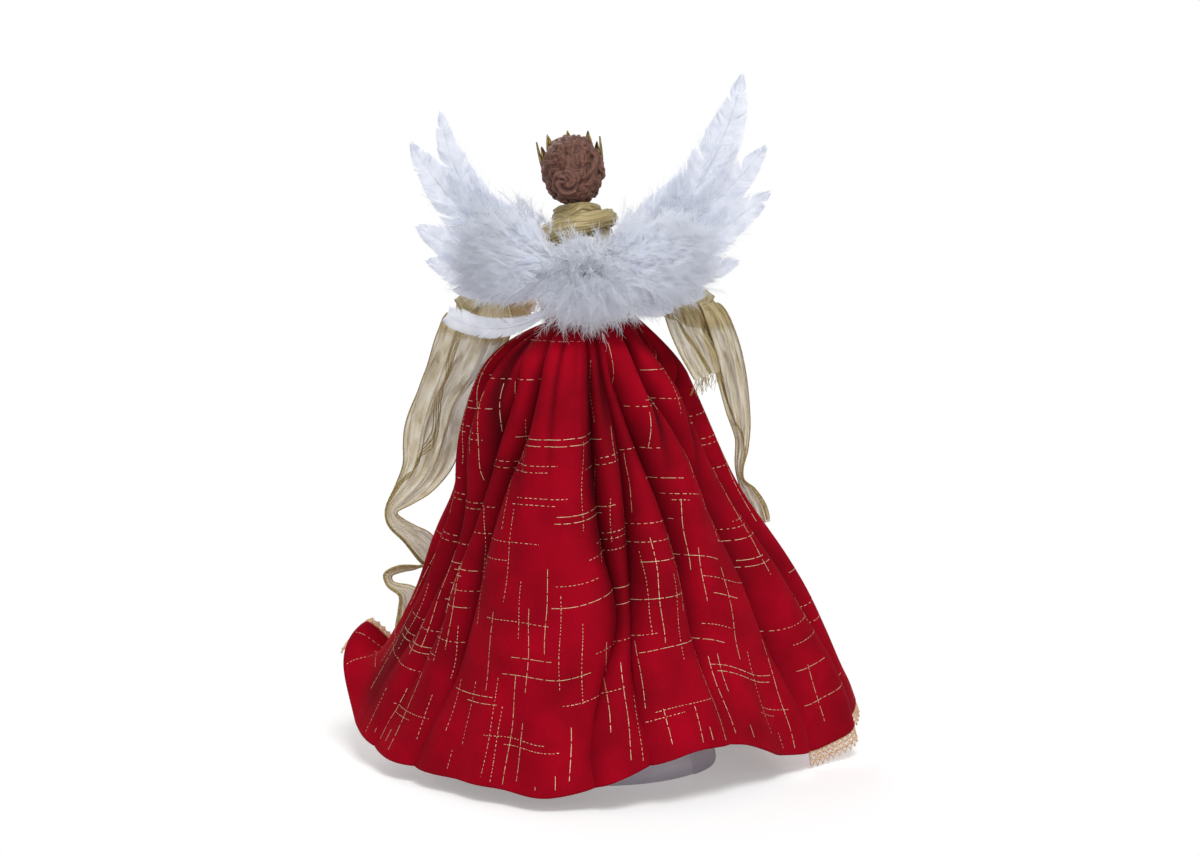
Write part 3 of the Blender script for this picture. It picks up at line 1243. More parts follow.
def robe_round(v):
    """How far it is round the robe's cloth, down it."""
    return ROBE_WAIST_ROUND + (ROBE_HEM_ROUND - ROBE_WAIST_ROUND) * v


def robe_folds(u, v):
    """How far the robe's folds and pleats stand out, and how deep in a fold each place is (0 to 1)."""
    round_here = robe_round(v)
    opening = ROBE_VALLEY[0] + (ROBE_VALLEY[1] - ROBE_VALLEY[0]) * v
    fold = np.zeros_like(u)
    depth = np.zeros_like(u)
    for left, right in zip(ROBE_VALLEYS, ROBE_VALLEYS[1:]):
        start = through(left)(v)
        end = through(right)(v)
        from_start = 1 - np.exp((start - u) * round_here / opening)
        from_end = 1 - np.exp((u - end) * round_here / opening)
        rise = from_start * from_end
        middle = 2 * (u - start) / (end - start) - 1
        dome = np.minimum(ROBE_DOME[0] * (end - start) * round_here, ROBE_DOME[1])
        dome = dome * np.sqrt(np.maximum(1 - middle**2, 0))
        here = (u >= start) & (u < end)
        fold += np.where(here, ROBE_RIDGE * (rise - ROBE_LEVEL) + dome - ROBE_SINK, 0)
        depth += np.where(here, np.clip(1 - rise, 0, 1), 0)
    calm = 1 - smoothstep(0.27, 0.12, u) * smoothstep(0.55, 0.9, v)
    growth = smoothstep(0, 0.15, v) * (1 - 0.78 * smoothstep(0.5, 0.97, v)) * calm
    pleats = np.zeros_like(u)
    for at, sink, wide, run in zip(pleat_at, pleat_depth, pleat_wide, pleat_run):
        pleats += sink * bell((u - at) * round_here / (wide * (1 + 2.5 * v))) * smoothstep(run, 0.1, v)
    pleats = pleats * smoothstep(0, 0.03, v)
    curl = bell((u - 0.14) / 0.03) * smoothstep(0.66, 0.8, v) * smoothstep(1, 0.9, v)
    low_down = 0.45 + 0.55 * smoothstep(0.05, 0.3, v)
    shade = 0.85 * depth * growth * low_down + 0.34 * np.maximum(-pleats, 0) + 0.6 * curl
    return fold * growth + pleats, np.clip(shade, 0, ROBE_DARKEST)


def robe_places(u, v):
    """Places on the robe's cloth, from the left front edge (u 0) to the right, and down (v)."""
    turn = ROBE_TURN[0] + (ROBE_TURN[1] - ROBE_TURN[0]) * u
    over_gown = smoothstep(74, 88, np.abs(turn))
    top = waist_places(np.radians(turn), 1.1 + 1.5 * over_gown, 5)
    hem = robe_hem(np.clip(u, 0, 1))
    out = unit((hem - top) * np.array([1, 1, 0]))
    spring = v / ROBE_SPRING
    swell = robe_gather(u) * spring * np.exp(1 - spring) + robe_belly(u) * belly(v)
    rumple = 0.7 * np.sin(31 * u + 5 * v + ripple_at[0]) * np.sin(9 * v + ripple_at[1] + 3 * u)
    rumple += 0.45 * np.sin(67 * u - 7 * v + ripple_at[2]) * np.sin(17 * v + ripple_at[3])
    wave = 1.1 * np.sin(83 * u + ripple_at[4]) * smoothstep(0.7, 1, v) * smoothstep(0.2, 0.35, u)
    tuck = ROBE_TUCK * bell((v - 0.8) / 0.14)
    sides = left_line(v) * smoothstep(0.33, 0.16, u)
    sides = sides + right_line(v) * smoothstep(0.7, 0.86, u) * smoothstep(1.03, 0.95, u)
    turned_in = ROBE_TURNED_IN * smoothstep(0.94, 1, u) * smoothstep(0.1, 0.3, v) * smoothstep(0.97, 0.8, v)
    sides = sides - turned_in
    stand_out = swell - tuck + sides + robe_folds(u, v)[0] + rumple * smoothstep(0.1, 0.4, v) + wave
    flip = smoothstep(0.13, 0, u) * smoothstep(0.84, 1, v) ** 1.5
    turned_up = np.array(ROBE_CORNER) * flip[..., None]
    sagged = np.array(ROBE_NOTCH) * (smoothstep(0.09, 0, u) * bell((v - 0.915) / 0.045))[..., None]
    return top + (hem - top) * v[..., None] + out * stand_out[..., None] + turned_up + sagged


u, v = grid(520, 200)
drape = robe_places(u, v)
robe = piece("velvet_robe", sheet_mesh(drape, ROBE_CLOTH), velvet, "root", "red_velvet", "robe")
paint(robe, "fold_shade", np.tile(robe_folds(u, v)[1].ravel(), 2))

# Gold threads: flat metal-wrapped yarns laid in the velvet in broken single and double lines, some
# round the skirt and some down it.

THREAD_HALF_WIDTH = 0.13
THREAD_RISE = 0.8  # from the middle of the cloth
THREAD_PAIR = 3.2  # between the two lines of a pair
THREAD_DASH = (2, 8)
THREAD_DOT = (0.6, 1.5)
THREAD_BREAK = (0.5, 1.3)
# Threads round the robe and threads down it: lengths, gaps in a line, pitches between lines, shares
ROUND_THREADS = {"length": (14, 62), "gap": (12, 60), "pitch": (7, 18), "dotted": 0.55, "paired": 0.4}
DOWN_THREADS = {"length": (16, 58), "gap": (14, 60), "pitch": (5, 12), "dotted": 0.45}
SMALL_STEP = 2e-3  # share of the robe over which its slope is taken


def robe_normals(u, v):
    """Which way the robe's cloth faces, outwards."""
    along = robe_places(u + SMALL_STEP, v) - robe_places(u - SMALL_STEP, v)
    down = robe_places(u, v + SMALL_STEP) - robe_places(u, v - SMALL_STEP)
    return unit(np.cross(down, along))


def strip_mesh(lines, half_width, facing):
    """Many narrow flat strands along lines (strands, points, 3), with the way their broad side looks."""
    half_width = np.broadcast_to(half_width, lines.shape[:2])
    across = unit(np.cross(np.gradient(lines, axis=1), facing)) * half_width[..., None]
    edges = np.stack([lines - across, lines + across], axis=2)
    strands, points = lines.shape[:2]
    index = np.arange(strands * points * 2).reshape(strands, points, 2)
    corners = [index[:, :-1, 0], index[:, :-1, 1], index[:, 1:, 1], index[:, 1:, 0]]
    return edges.reshape(-1, 3), np.stack(corners, axis=-1).reshape(-1, 4), None


def metal_yarn():
    """Flat metallised yarn round a cotton core: pale rosy gold, with small glints along it."""
    look = {"Base Color": linear("#CFA877"), "Metallic": 0.3, "Roughness": 0.5}
    return mottled("metallised_yarn", look, ("#B8865E", "#EFD0AE"), 0.9, 0.2, detail=2.0, stops=(0.3, 0.7))


rng = np.random.default_rng(23)
dash_u, dash_v = [], []


def lay_thread(start_u, start_v, length, down, dotted):
    """Lays one broken thread, down the robe or round it."""
    run = 0.0
    while run < length:
        dash = min(rng.uniform(*(THREAD_DOT if dotted else THREAD_DASH)), length - run)
        t = run + dash * np.linspace(0, 1, 10)
        wander = 0.3 * np.sin(t / 6 + start_u * 40)
        across, along = (wander, t) if down else (t, wander)
        dash_u.append(start_u + across / robe_round(start_v))
        dash_v.append(start_v + along / ROBE_DROP)
        run += dash + rng.uniform(*THREAD_BREAK)


row = 0.03
while row < 0.97:
    round_here = robe_round(row)
    at = rng.uniform(-60, 60)
    while at < round_here:
        length = rng.uniform(*ROUND_THREADS["length"]) * (0.4 + 0.6 * round_here / ROBE_HEM_ROUND)
        dotted = rng.random() < ROUND_THREADS["dotted"]
        lay_thread(at / round_here, row, length, False, dotted)
        if rng.random() < ROUND_THREADS["paired"]:
            beside = at + rng.uniform(-8, 12)
            shorter = length * rng.uniform(0.4, 1)
            lay_thread(beside / round_here, row + THREAD_PAIR / ROBE_DROP, shorter, False, dotted)
        at += length + rng.uniform(*ROUND_THREADS["gap"])
    row += rng.uniform(*ROUND_THREADS["pitch"]) / ROBE_DROP
column = 0.01
while column < 0.99:
    at = rng.uniform(-40, 60)
    while at < ROBE_DROP:
        length = rng.uniform(*DOWN_THREADS["length"])
        dotted = rng.random() < DOWN_THREADS["dotted"]
        if rng.random() < 0.4 + 0.6 * at / ROBE_DROP:
            lay_thread(column, at / ROBE_DROP, length, True, dotted)
        at += length + rng.uniform(*DOWN_THREADS["gap"])
    column += rng.uniform(*DOWN_THREADS["pitch"]) / ROBE_HEM_ROUND
dash_u = np.array(dash_u)
dash_v = np.array(dash_v)
on_cloth = np.minimum(dash_u.min(axis=1), dash_v.min(axis=1)) > 0.005
on_cloth &= (dash_u.max(axis=1) < 0.995) & (dash_v.max(axis=1) < 0.99)
facing = robe_normals(dash_u[on_cloth], dash_v[on_cloth])
dashes = robe_places(dash_u[on_cloth], dash_v[on_cloth]) + facing * THREAD_RISE
yarn = metal_yarn()
threads = piece("gold_threads", strip_mesh(dashes, THREAD_HALF_WIDTH, facing), yarn, "root", "gold_lace")

# Lace: bobbin-made edging of gold yarn, sewn along each front edge of the robe and round its
# corners: a close heading, a net of diamonds, and a row of pointed loops.

LACE_WIDTH = 7.6
LACE_FOOT = 0.6  # from the cloth's edge to the net
LACE_NET = 5  # from the cloth's edge to the foot of the points
LACE_PITCH = 3.6
LACE_YARN = 0.27
LACE_BEAD = 0.5
LACE_FORWARD = 2.4  # how far it turns to the front along the robe's edges
LACE_START = 0.03  # share of the robe's fall above it
LACE_HEM_SHARE = {"left": 0.04, "right": 0.17}
# The cords along the lace: how far from the cloth's edge, and their radius
LACE_CORDS = [(-0.4, 0.55), (LACE_FOOT, 0.45), (LACE_NET / 2, 0.3), (LACE_NET, 0.42)]
# The crossed yarns of the net and its points: from, to, share of the pitch, and how they bend
LACE_YARNS = [
    (LACE_FOOT, LACE_NET / 2, 1, 1),
    (LACE_NET / 2, LACE_NET, 1, 1),
    (LACE_NET, LACE_WIDTH, 0.5, 0.8),
]
LACE_RUN = 360  # points along each cord


def lace_mesh(seam, outward):
    """Lace along a seam, with the way that it stands out from it."""
    run = run_along(seam)

    def on_lace(q, w):
        """Places on the lace: along it (q) and out from the cloth's edge (w)."""
        return place_along(seam, run, q) + unit(place_along(outward, run, q)) * np.asarray(w)[..., None]

    starts = np.arange(0, run[-1] - LACE_PITCH, LACE_PITCH)[:, None]
    t = np.linspace(0, 1, 5)[None]
    net = []
    for near, far, share, bend in LACE_YARNS:
        out = near + (far - near) * t**bend
        net.append(on_lace(starts + LACE_PITCH * share * t, out))
        net.append(on_lace(starts + LACE_PITCH * (1 - share * t), out))
    long_run = np.linspace(0.2, run[-1] - 0.2, LACE_RUN)
    cords = np.array([on_lace(long_run, out) for out, _ in LACE_CORDS])
    cord_radii = [[radius] * LACE_RUN for _, radius in LACE_CORDS]
    tips = on_lace(starts[:, 0] + LACE_PITCH / 2, LACE_WIDTH)
    crossed = tube_mesh(np.concatenate(net), LACE_YARN, 5)
    return merged(crossed, tube_mesh(cords, cord_radii, 6), round_beads(tips, LACE_BEAD))


for name, edge, inward in (("left", 0.0, 1), ("right", 1.0, -1)):
    course = np.linspace(0, 2, 700)
    edge_v = np.where(course < 1, LACE_START + (1 - LACE_START) * course, 1.0)
    edge_u = edge + inward * np.maximum(course - 1, 0) * LACE_HEM_SHARE[name]
    seam = robe_places(edge_u, edge_v)
    sideways = unit(seam - robe_places(edge_u + inward * SMALL_STEP, edge_v))
    downward = unit(seam - robe_places(edge_u, edge_v - SMALL_STEP))
    turning = smoothstep(0.96, 1.06, course)[:, None]
    outward = unit((sideways + np.array([0, LACE_FORWARD, 0])) * (1 - turning) + downward * turning)
    lace = lace_mesh(seam, outward)
    piece(f"{name}_picot_lace", lace, yarn, "root", "gold_lace", f"{name}_robe_lace")

# Stole tails: the ends of the organza ribbon, tacked over each sleeve and hanging beside the skirt.
# The cloth is sheer and crinkled, with corded seams; the left end doubles back, loops and frays.

RIBBON_CLOTH = 0.4
RIBBON_DOUBLED = 40  # how far down two layers hang together
RIBBON_ARCH = (15, -20, -55, -88)  # degrees from the sleeve's crest, of its places over it
RIBBON_TUCK = 1.4  # how far its tacked top end is pressed into the sleeve
SLEEVE_CREST = 8.7  # from the arm's middle to the ribbon over it
CORD_RADIUS = 0.3
CORD_POINTS = 260
CORD_EDGES = (0.004, 0.996)
SEAM_CORDS = (0, 0.025, 0.05, 0.075)  # where the cords of a seam lie beside each other
FRAY_STRANDS = 60
FRAY_LENGTHS = (2, 8)
FRAY_HALF_WIDTH = 0.09
BACKWARD = np.array([0, -1.0, 0])
# Each tail hangs between two edges: one away from the doll and one towards her
TAILS = {
    "left_stole_tail": {
        "arm": "left",
        "share": 0.33,
        "lift": 1.3,
        "half_width": 11,
        "outer": [
            (-71, -12, 216), (-76, -10, 207), (-81, -6, 193), (-86, -2, 178), (-91, 2, 163), (-92.5, 5, 151),
            (-93.5, 7, 141), (-98, 9, 130), (-103, 10, 119), (-102, 10, 111), (-94.5, 13, 102), (-87, 18, 91),
            (-83, 17, 89), (-90, 15, 90), (-98, 12, 90), (-104, 11, 86.5), (-102.5, 11, 81), (-97, 11, 76),
            (-97.5, 12, 69), (-99, 12, 61), (-99, 11, 52),
        ],
        "inner": [
            (-41, -8, 213), (-44.5, 1, 199), (-54, 11, 181), (-63.5, 19, 166), (-68, 22, 151), (-74, 20, 137),
            (-82, 16, 127), (-90.5, 13, 121), (-97.5, 11, 117), (-94.5, 12.5, 113.5), (-89, 14, 110),
            (-81, 19, 104), (-79, 22, 93), (-89, 20, 88), (-96, 18, 87), (-101, 17, 85), (-100, 16.5, 81.5),
            (-89, 16, 79), (-84.5, 18, 71), (-86.5, 18, 62), (-91, 14.5, 48),
        ],
        "seam": [(0, 0.45), (0.2, 0.25), (0.32, 0.43), (0.4, 0.5), (0.47, 0.3), (0.54, 0.05), (1, 0.02)],
        "frayed": True,
    },
    "right_stole_tail": {
        "arm": "right",
        "share": 0.38,
        "lift": 0.4,
        "half_width": 8,
        "outer": [
            (56, -9, 220), (63.5, -4, 207), (69, 2, 187), (71.5, 6, 163), (70.5, 8, 148), (68.5, 9, 139),
            (69, 10, 133), (74.5, 12, 128), (79.5, 13, 120), (81.5, 13, 112),
        ],
        "inner": [
            (43, -9, 220), (48, -4, 207), (54, 2, 188), (60, 7, 168), (65, 10, 154), (65, 12, 141),
            (66, 13, 134), (68.5, 16, 126), (71.5, 18, 118), (74.5, 18, 110),
        ],
        "seam": [(0, 0.7), (0.4, 0.8), (0.6, 0.75), (0.72, 0.1), (1, 0.05)],
        "frayed": False,
    },
    "right_stole_end": {
        "arm": "right",
        "share": 0.13,
        "lift": 0.9,
        "half_width": 6,
        "outer": [(43, -12, 219), (49, -13, 208), (55, -11, 197), (57, -9, 188)],
        "inner": [(29, -14, 218), (32, -16, 208), (37.5, -16, 196), (44, -14, 184)],
        "seam": [(0, 0.5), (0.6, 0.6), (1, 0.3)],
        "frayed": True,
    },
}


def edging_cord():
    """Twisted gold yarn, whipped over the ribbon's edges and seams: dull gold with darker turns."""
    return mottled("gold_edging_cord", {"Roughness": 0.6, "Metallic": 0.1}, ("#7B673A", "#BBA672"), 0.8, 0.2)


def tail_edges(tail, side):
    """A tail's outer and inner edge, each from where it is tacked over the sleeve."""
    arm = arm_path(tail["arm"], side)
    before, crest, after = arm(tail["share"] + np.array([-0.005, 0, 0.005]))
    heading = unit(after - before)
    over = unit(side * np.cross(BACKWARD, heading))
    rise = np.full((len(RIBBON_ARCH), 1), SLEEVE_CREST + tail["lift"])
    rise[0] = SLEEVE_CREST - RIBBON_TUCK
    bends = np.radians(RIBBON_ARCH)[:, None]
    arch = crest + over * rise * np.cos(bends) - BACKWARD * rise * np.sin(bends)
    outward = heading * tail["half_width"]
    outer = np.concatenate([leaned(arch + outward), tail["outer"]])
    return outer, np.concatenate([leaned(arch - outward), tail["inner"]])


def hung_between(outer, inner, down, side):
    """A ribbon's cloth between two edges: takes shares across and down it, gives places on it."""
    outer_axes, inner_axes = ([through(list(zip(down, at))) for at in edge.T] for edge in (outer, inner))

    def smooth_places(u, v):
        """Places on the ribbon: from its outer edge (0) to its inner one (1), and down it (v)."""
        away = np.stack([axis(v) for axis in outer_axes], axis=-1)
        near = np.stack([axis(v) for axis in inner_axes], axis=-1)
        return away + (near - away) * u[..., None]

    def creased_places(u, v):
        """The same with lengthwise pleats and crinkles, which flatten where the tail is narrow."""
        across = smooth_places(u + SMALL_STEP, v) - smooth_places(u - SMALL_STEP, v)
        along = smooth_places(u, v + SMALL_STEP) - smooth_places(u, v - SMALL_STEP)
        room = np.linalg.norm(across, axis=-1) / (2 * SMALL_STEP)
        pleat = 0.07 * np.sin(5.2 * np.pi * u + 4 * v + side)
        pleat = pleat + 0.03 * np.sin(13 * np.pi * u + 3 * np.sin(6 * v))
        crinkle = 0.012 * np.sin(33 * np.pi * u + 2.5 * np.sin(23 * v)) * np.sin(29 * v + 4 * u)
        sway = 0.03 * np.sin(17 * v + 3 * u)
        ripple = (pleat + crinkle + sway) * room * smoothstep(0.06, 0.3, v)
        return smooth_places(u, v) + unit(np.cross(across, along)) * ripple[..., None]

    return creased_places


def frayed_threads(edge):
    """Loose threads that hang from a ribbon's cut edge."""
    rng = np.random.default_rng(31)
    roots = edge[rng.integers(0, len(edge), FRAY_STRANDS)]
    t = np.linspace(0, 1, 8)[None, :, None]
    drift = rng.normal(0, 1, (FRAY_STRANDS, 1, 3)) * np.array([1.6, 1.2, 0.8])
    length = rng.uniform(*FRAY_LENGTHS, (FRAY_STRANDS, 1, 1))
    strands = roots[:, None] + drift * t**1.5 - np.array([0, 0, 1]) * length * t
    return strip_mesh(strands, FRAY_HALF_WIDTH, BACKWARD)


cord_yarn = edging_cord()
for name, tail in TAILS.items():
    side = SIDES[tail["arm"]]
    body = f"{tail['arm']}_arm"
    outer, inner = tail_edges(tail, side)
    run = run_along((outer + inner) / 2)
    long = run[-1]
    hung = hung_between(outer, inner, run / long, side)
    u, v = grid(80, 300)
    places = hung(u, v)
    ribbon = piece(f"{name}_ribbon", sheet_mesh(places, RIBBON_CLOTH), gold, body, "gold_organza", name)
    doubled = smoothstep(RIBBON_DOUBLED + 8, RIBBON_DOUBLED - 8, v * long)
    paint(ribbon, "doubled", np.tile(doubled.ravel(), 2))
    down = np.linspace(0.01, 0.99, CORD_POINTS)
    seam = through(tail["seam"])(down)
    courses = [np.full(CORD_POINTS, edge) for edge in CORD_EDGES] + [seam + shift for shift in SEAM_CORDS]
    cord_mesh = tube_mesh([hung(course, down) for course in courses], CORD_RADIUS, 6)
    trims = [piece(f"{name}_cord", cord_mesh, cord_yarn, body, "gold_organza")]
    if tail["frayed"]:
        frays = frayed_threads(places[-1])
        trims.append(piece(f"{name}_frayed_end", frays, cord_yarn, body, "gold_organza"))
    wide = np.linalg.norm(places[:, 0] - places[:, -1], axis=1).mean()

# Wing roots: a felt pad sewn to the bodice's back, and two stiff white cards that the feathers are
# glued to, each with a soft wire that holds its bend.

WING_PLACE = np.array([-6, 0, 202])
PAD_RINGS = [(-1, 0.8), (-0.8, 0.25), (-0.4, 0), (0.4, 0), (0.8, 0.25), (1, 0.8)]  # share of depth, inset


def white_felt():
    """Pressed wool felt: white and matt, with short tangled fibres."""
    look = {"Base Color": linear("#F2F2EF"), "Roughness": 0.95, "Sheen Weight": 0.3}
    fibres = {"detail": 5.0, "stops": (0, 1), "strength": 0.5}
    return mottled("white_felt", look, ("#E2E2DF", "#F8F8F6"), 0.8, 0.3, **fibres)


def box_of(node):
    """A CAD node's middle and half-size, in millimetres."""
    low, high = (np.array(corner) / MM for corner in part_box(node))
    return (low + high) / 2, (high - low) / 2


felt = white_felt()
for name in SIDES:
    dress(f"{name}_wing_card", felt)
(x, y, z), (wide, deep, tall) = box_of("wing_pad")
turn = full_turn(72)
pad_rings = []
for share, inset in PAD_RINGS:
    ring = xyz(x + (wide - inset) * np.sin(turn), y + deep * share, z + (tall - inset) * np.cos(turn))
    pad_rings.append(ring)
pad = piece("felt_wing_pad", ring_mesh(np.array(pad_rings)), felt, "root", "white_felt", "wing_pad")

# Feathers: white goose feathers trimmed to length and glued to the cards in overlapping layers. Each
# has a shaft, two webs of barbs that split here and there, and loose down over its foot.

# Each feather: foot (reach, height), length, degrees from upright, width, bow of its shaft
FEATHERS = {
    "left": {
        "covert": ((20, 45), 45, 50, 18, 3),
        "primary_1": ((24, 42), 79, 33, 17, 10),
        "primary_2": ((22, 37), 82, 46, 21, 6),
        "primary_3": ((20, 33), 63, 69, 22, 3),
        "secondary_1": ((18, 30), 57, 80, 20, 3),
        "secondary_2": ((17, 29), 45, 94, 13, 1),
        "secondary_3": ((18, 30), 30, 92, 8, 0),
        "stray_feather": ((16, 18.5), 49, 94, 10, 8),
    },
    "right": {
        "covert": ((20, 46), 43, 38, 19, 2),
        "primary_1": ((22, 42), 97, 30.5, 22, 9),
        "primary_2": ((22, 39), 81, 48.5, 19, 4),
        "primary_3": ((20, 35), 74, 60.5, 20, 4),
        "secondary_1": ((18, 31), 53, 81, 17, 2),
        "secondary_2": ((17, 27), 38, 95, 14, 1),
        "secondary_3": ((17, 24), 24, 108, 14, 0),
    },
}
FEATHER_WEB = [(0, 0.09), (0.12, 0.5), (0.35, 1), (0.55, 0.94), (0.8, 0.62), (0.93, 0.32), (1, 0.04)]
BLUNT_WEB = [(0, 0.1), (0.2, 0.5), (0.5, 0.9), (0.8, 1), (0.95, 0.98), (1, 0.7)]
WEB_FLUFF = 15  # strands of down on each millimetre of a feather
BLUNT_FLUFF = 0.6
BARB_STEP = 0.45
BARB_TAPER = 0.33 * np.array([1.1, 1.1, 1.05, 1.0, 0.75, 0.25])  # half-widths along a barb
BARB_POINTS = len(BARB_TAPER)
CLUMP_STARTS = 0.09  # share of the barbs that start a clump
FRINGE_HALF_WIDTH = 0.1
FLUFF_HALF_WIDTH = 0.13
FLUFF_BEHIND = 0.72  # share of the fluff that lies behind the feather


def white_feather(name, light, shade, share):
    """Feather keratin: cool white, dull, lit through from behind, faintly grey where barbs overlap."""
    look = {"Base Color": linear(light), "Roughness": 0.8, "Specular IOR Level": 0.2, "Sheen Weight": 0.1}
    material, tree, shader = new_surface(name, look)
    tone = ramp(tree, noise(tree, 5, 4.0), (0.32, shade), (0.6, light))
    plug(tree, shader, {"Base Color": tone})
    lit_through(tree, shader, tone, share)
    return material


def tapered(half_width, tip, points=BARB_POINTS):
    """A strand's half-widths along it, down to a share of the first at its tip."""
    return half_width * np.linspace(1, tip, points)[None]


def strands_between(start, bend, end, points=BARB_POINTS):
    """Many bent strands, each through its own three places."""
    t = np.linspace(0, 1, points)[None, :, None]
    return bezier(start[:, None], bend[:, None], end[:, None], t)


def goose_feather(side, depth, size, web, fluff, rng):
    """One feather's barbs, shaft, soft fringe and down, as one mesh."""
    (reach, rise), length, lean, width, bow = size
    lean = math.radians(lean)
    up = np.array([side * math.sin(lean), 0, math.cos(lean)])
    sideways = np.array([side * math.cos(lean), 0, -math.sin(lean)])
    start = np.array([side * reach, 0, rise]) + WING_PLACE
    start[1] = depth
    bend = start + up * length * 0.5 + sideways * bow * 2
    end = start + up * length
    half = through(web)

    def shaft(t):
        """Places on the shaft."""
        return bezier(start, bend, end, np.asarray(t)[..., None])

    def heading(t):
        """The way the shaft runs."""
        t = np.asarray(t)[..., None]
        return unit((1 - t) * (bend - start) + t * (end - bend))

    def across(t):
        """The way across the feather, in the wing's plane."""
        way = heading(t)
        return xyz(way[..., 2], 0, -way[..., 0])

    meshes = []
    for edge in (-1, 1):
        count = int(length / BARB_STEP)
        foot = np.linspace(0.05, 0.985, count)
        clump = np.cumsum(rng.random(count) < CLUMP_STARTS)
        slip = rng.normal(0, 0.012, clump.max() + 1)[clump]
        lift = rng.normal(0, 0.55, clump.max() + 1)[clump]
        stretch = 1 + rng.normal(0, 0.05, clump.max() + 1)[clump] + rng.normal(0, 0.015, count)
        wide = half(foot) * width / 2
        tip_at = np.clip(foot + 0.95 * wide / length * (1 - 0.3 * foot) + slip, 0, 1)
        reach_out = half(tip_at) * width / 2 * stretch
        tip = shaft(tip_at) + edge * across(tip_at) * reach_out[:, None] + BACKWARD * lift[:, None]
        root = shaft(foot)
        curve = root + edge * across(foot) * (wide * 0.55)[:, None] + heading(foot) * (wide * 0.15)[:, None]
        curve = curve + BACKWARD * (0.12 * wide + 0.3 * lift)[:, None]
        tilt = BACKWARD + rng.normal(0, 0.12, (count, 1, 3))
        meshes.append(strip_mesh(strands_between(root, curve, tip), BARB_TAPER[None], tilt))

        fringe = rng.integers(0, count, count)
        spray = unit(tip[fringe] - curve[fringe] + rng.normal(0, 0.35, (count, 3)))
        long = rng.uniform(0.8, 2.6, (count, 1))
        rim = tip[fringe] - spray * 1.5
        hairs = strands_between(rim, rim + spray * long * 0.6, rim + spray * long + up * 0.4)
        meshes.append(strip_mesh(hairs, tapered(FRINGE_HALF_WIDTH, 0.25), tilt))

    t = np.linspace(0, 0.97, 24)
    quill = shaft(t) + BACKWARD * 0.25
    meshes.append(tube_mesh(quill[None], (0.5 - 0.4 * t)[None], 6))

    count = int(fluff * length)
    at = rng.beta(1.1, 1.9, count) * 0.75
    off = rng.uniform(-0.75, 0.75, count)
    foot = shaft(at) + across(at) * (off * (half(at) * width / 2 + 1.5))[:, None]
    front = np.where(rng.random(count) < FLUFF_BEHIND, 1.0, -1.0)[:, None] * BACKWARD
    flow = unit(heading(at) * 1.2 + across(at) * (off * 0.9)[:, None] + rng.normal(0, 0.28, (count, 3)))
    long = rng.uniform(3, 7.5, (count, 1))
    middle = foot + flow * long * 0.5 + front * rng.uniform(0.8, 2.6, (count, 1))
    tip = foot + flow * long + front * rng.uniform(0.2, 1.6, (count, 1)) + rng.normal(0, 0.8, (count, 3))
    down = strands_between(foot + front * 0.3, middle, tip)
    looks = front[:, None] + rng.normal(0, 0.15, (count, 1, 3))
    meshes.append(strip_mesh(down, tapered(FLUFF_HALF_WIDTH, 0.3), looks))
    return merged(*meshes)


vane_white = white_feather("goose_feather", "#F0F2F8", "#E6E9F1", 0.5)
down_white = white_feather("marabou_down", "#F8FAFF", "#F3F6FE", 0.5)
rng = np.random.default_rng(47)
for name, side in SIDES.items():
    for kind, size in FEATHERS[name].items():
        node = f"{name}_{kind}"
        web, fluff = (BLUNT_WEB, BLUNT_FLUFF) if kind == "stray_feather" else (FEATHER_WEB, WEB_FLUFF)
        mesh = goose_feather(side, box_of(node)[0][1], size, web, fluff, rng)
        piece(f"{node}_barbs", mesh, vane_white, f"{name}_wing", "white_feather", node)

# Down: loose coverts glued over the feathers' feet, and a tuft of marabou between the wings that
# hides where they are sewn on. Each plume is a limp shaft with long fine barbs.

PLUME_BARBS = 32
BARB_HAIR = 0.09  # half-width
PUFF_PLUMES = 1000
PUFF_LENGTHS = (8, 13)
PUFF_CORE = 0.62  # how far out its plumes start, as a share of its half-size
PUFF_SPREAD = (2.45, 1.0, 0.9)  # how far its plumes stand out of the tied tuft
PUFF_SHIFT = (1.5, 0, 1)
PUFF_FAN = (1.7, 0.5, 1.5)  # its plumes spread from the middle
PUFF_FALL = (0, -0.12, -0.35)  # and hang
PUFF_LOOK = np.array([0, -0.05, 0.03])  # and look a little backward and up
# Patches of down on each wing: out on the left, out on the right and up from the wings' place,
# half-width and half-height, depths, lengths, plumes
DOWN_PATCHES = [
    ((34, 34, 41), (20, 17), (-34.5, -31.5), (7, 13), 360),
    ((26, 17, 44), (9, 11), (-32, -24), (6, 11), 200),
    ((30, 30, 43), (17, 22), (-18.6, -17.2), (5, 10), 220),
]
DOWN_MIDDLE = (30, 38)  # out and up from the wings' place
DOWN_ROUND = np.array([0.025, 0, 0.025])  # how much more it looks outward, for each millimetre
CARD_PLANE = -22  # down behind it looks backward, down before it forward


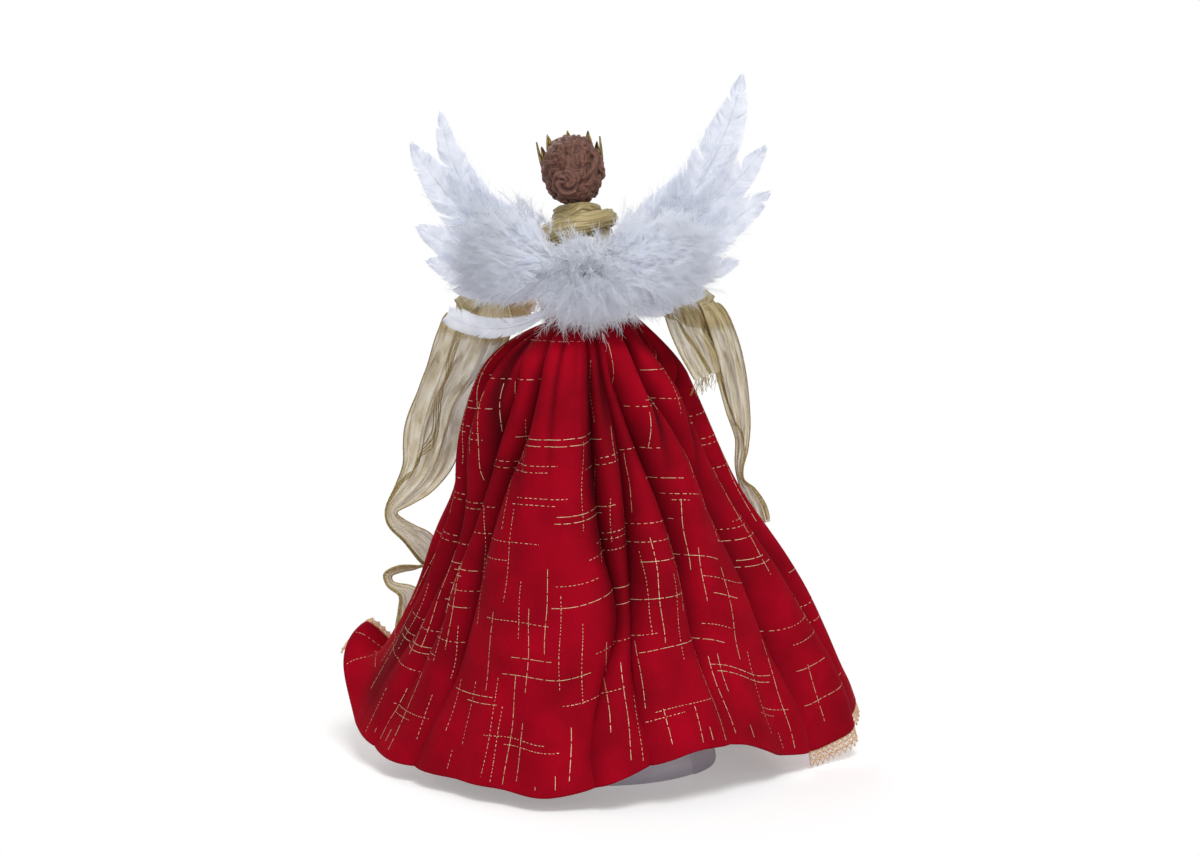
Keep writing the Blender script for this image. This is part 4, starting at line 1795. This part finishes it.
def plumes(roots, ways, lengths, droop, depth, facing, rng):
    """Limp plumes: from each root a bent shaft, with barbs round it that look the plume's way.

    Depth is 1 for round plumes, 0 for flat ones.
    """
    count = len(roots)
    t = np.linspace(0, 1, PLUME_BARBS)[None, :, None]
    lie = np.array([1, depth, 1])
    curl = rng.normal(0, 0.25, (count, 1, 3)) * lie
    sag = np.array([0, 0, -1.0]) * droop
    lengths = lengths[:, None, None]
    shafts = roots[:, None] + (ways[:, None] * t + curl * t**2) * lengths + sag * lengths * t**2
    along = unit(np.gradient(shafts, axis=1))
    side = unit(np.cross(along, unit(rng.normal(0, 1, (count, 1, 3)))))
    lift = np.cross(along, side)
    spin = rng.uniform(0, 2 * np.pi, (count, PLUME_BARBS, 1))
    out = unit(along * 1.9 + (side * np.cos(spin) + lift * np.sin(spin)) * lie)
    long = lengths * 0.7 * (1 - 0.45 * t) * rng.uniform(0.6, 1.15, (count, PLUME_BARBS, 1))
    foot = shafts.reshape(-1, 3)
    way = (out * long).reshape(-1, 3)
    bend = foot + way * 0.55 + rng.normal(0, 0.6, foot.shape)
    hang = sag * np.linalg.norm(way, axis=1, keepdims=True) * 0.25
    tip = foot + way + hang + rng.normal(0, 0.9, foot.shape)
    looks = np.repeat(facing, PLUME_BARBS, axis=0)[:, None] + rng.normal(0, 0.2, (len(foot), 1, 3))
    return merged(
        strip_mesh(strands_between(foot, bend, tip), tapered(BARB_HAIR, 0.3), looks),
        strip_mesh(shafts, tapered(BARB_HAIR, 0.3, PLUME_BARBS), facing[:, None]),
    )


def away_from_card(places):
    """The way that down looks at its places, on either face of a card."""
    return np.where(places[:, 1:2] < CARD_PLANE, -1.0, 1.0) * np.array([0, 1, 0])


rng = np.random.default_rng(61)
for name, side in SIDES.items():
    tufts = []
    for (left_out, right_out, up), half, depths, lengths, count in DOWN_PATCHES:
        out = right_out if side > 0 else left_out
        turn = rng.uniform(0, 2 * np.pi, count)
        reach = np.sqrt(rng.uniform(0, 1, count)) * 0.9
        off = xyz(half[0] * reach * np.cos(turn), 0, half[1] * reach * np.sin(turn))
        roots = WING_PLACE + np.array([side * out, 0, up]) + off
        roots[:, 1] = rng.uniform(*depths, count)
        fan = (roots - WING_PLACE - np.array([0, 0, up - 0.5 * half[1]])) * np.array([1, 0, 1])
        ways = unit(unit(fan) + rng.normal(0, 0.3, roots.shape) * np.array([1, 0.4, 1]))
        facing = away_from_card(roots)
        tufts.append(plumes(roots, ways, rng.uniform(*lengths, count), 0.05, 0.4, facing, rng))
    mesh = merged(*tufts)
    middle = np.array([side * DOWN_MIDDLE[0], 0, DOWN_MIDDLE[1]])
    rounded = unit((mesh[0] - WING_PLACE - middle) * DOWN_ROUND + away_from_card(mesh[0]))
    node = f"{name}_covert_down"
    piece(f"{name}_down", mesh, down_white, f"{name}_wing", "white_feather", node, normals=rounded)

middle, half = box_of("marabou_puff")
middle = middle + np.array(PUFF_SHIFT)
half = half * np.array(PUFF_SPREAD)
core = unit(rng.normal(0, 1, (PUFF_PLUMES, 3))) * np.cbrt(rng.uniform(0, 1, (PUFF_PLUMES, 1))) * PUFF_CORE
ways = unit(core * PUFF_FAN + PUFF_FALL + rng.normal(0, 0.25, core.shape))
facing = unit(core / half + PUFF_LOOK)
lengths = rng.uniform(*PUFF_LENGTHS, PUFF_PLUMES)
mesh = plumes(middle + core * half, ways, lengths, 0.16, 0.7, facing, rng)
rounded = unit((mesh[0] - middle) / half**2 + PUFF_LOOK)
piece("marabou_tuft", mesh, down_white, "root", "white_feather", "marabou_puff", normals=rounded)
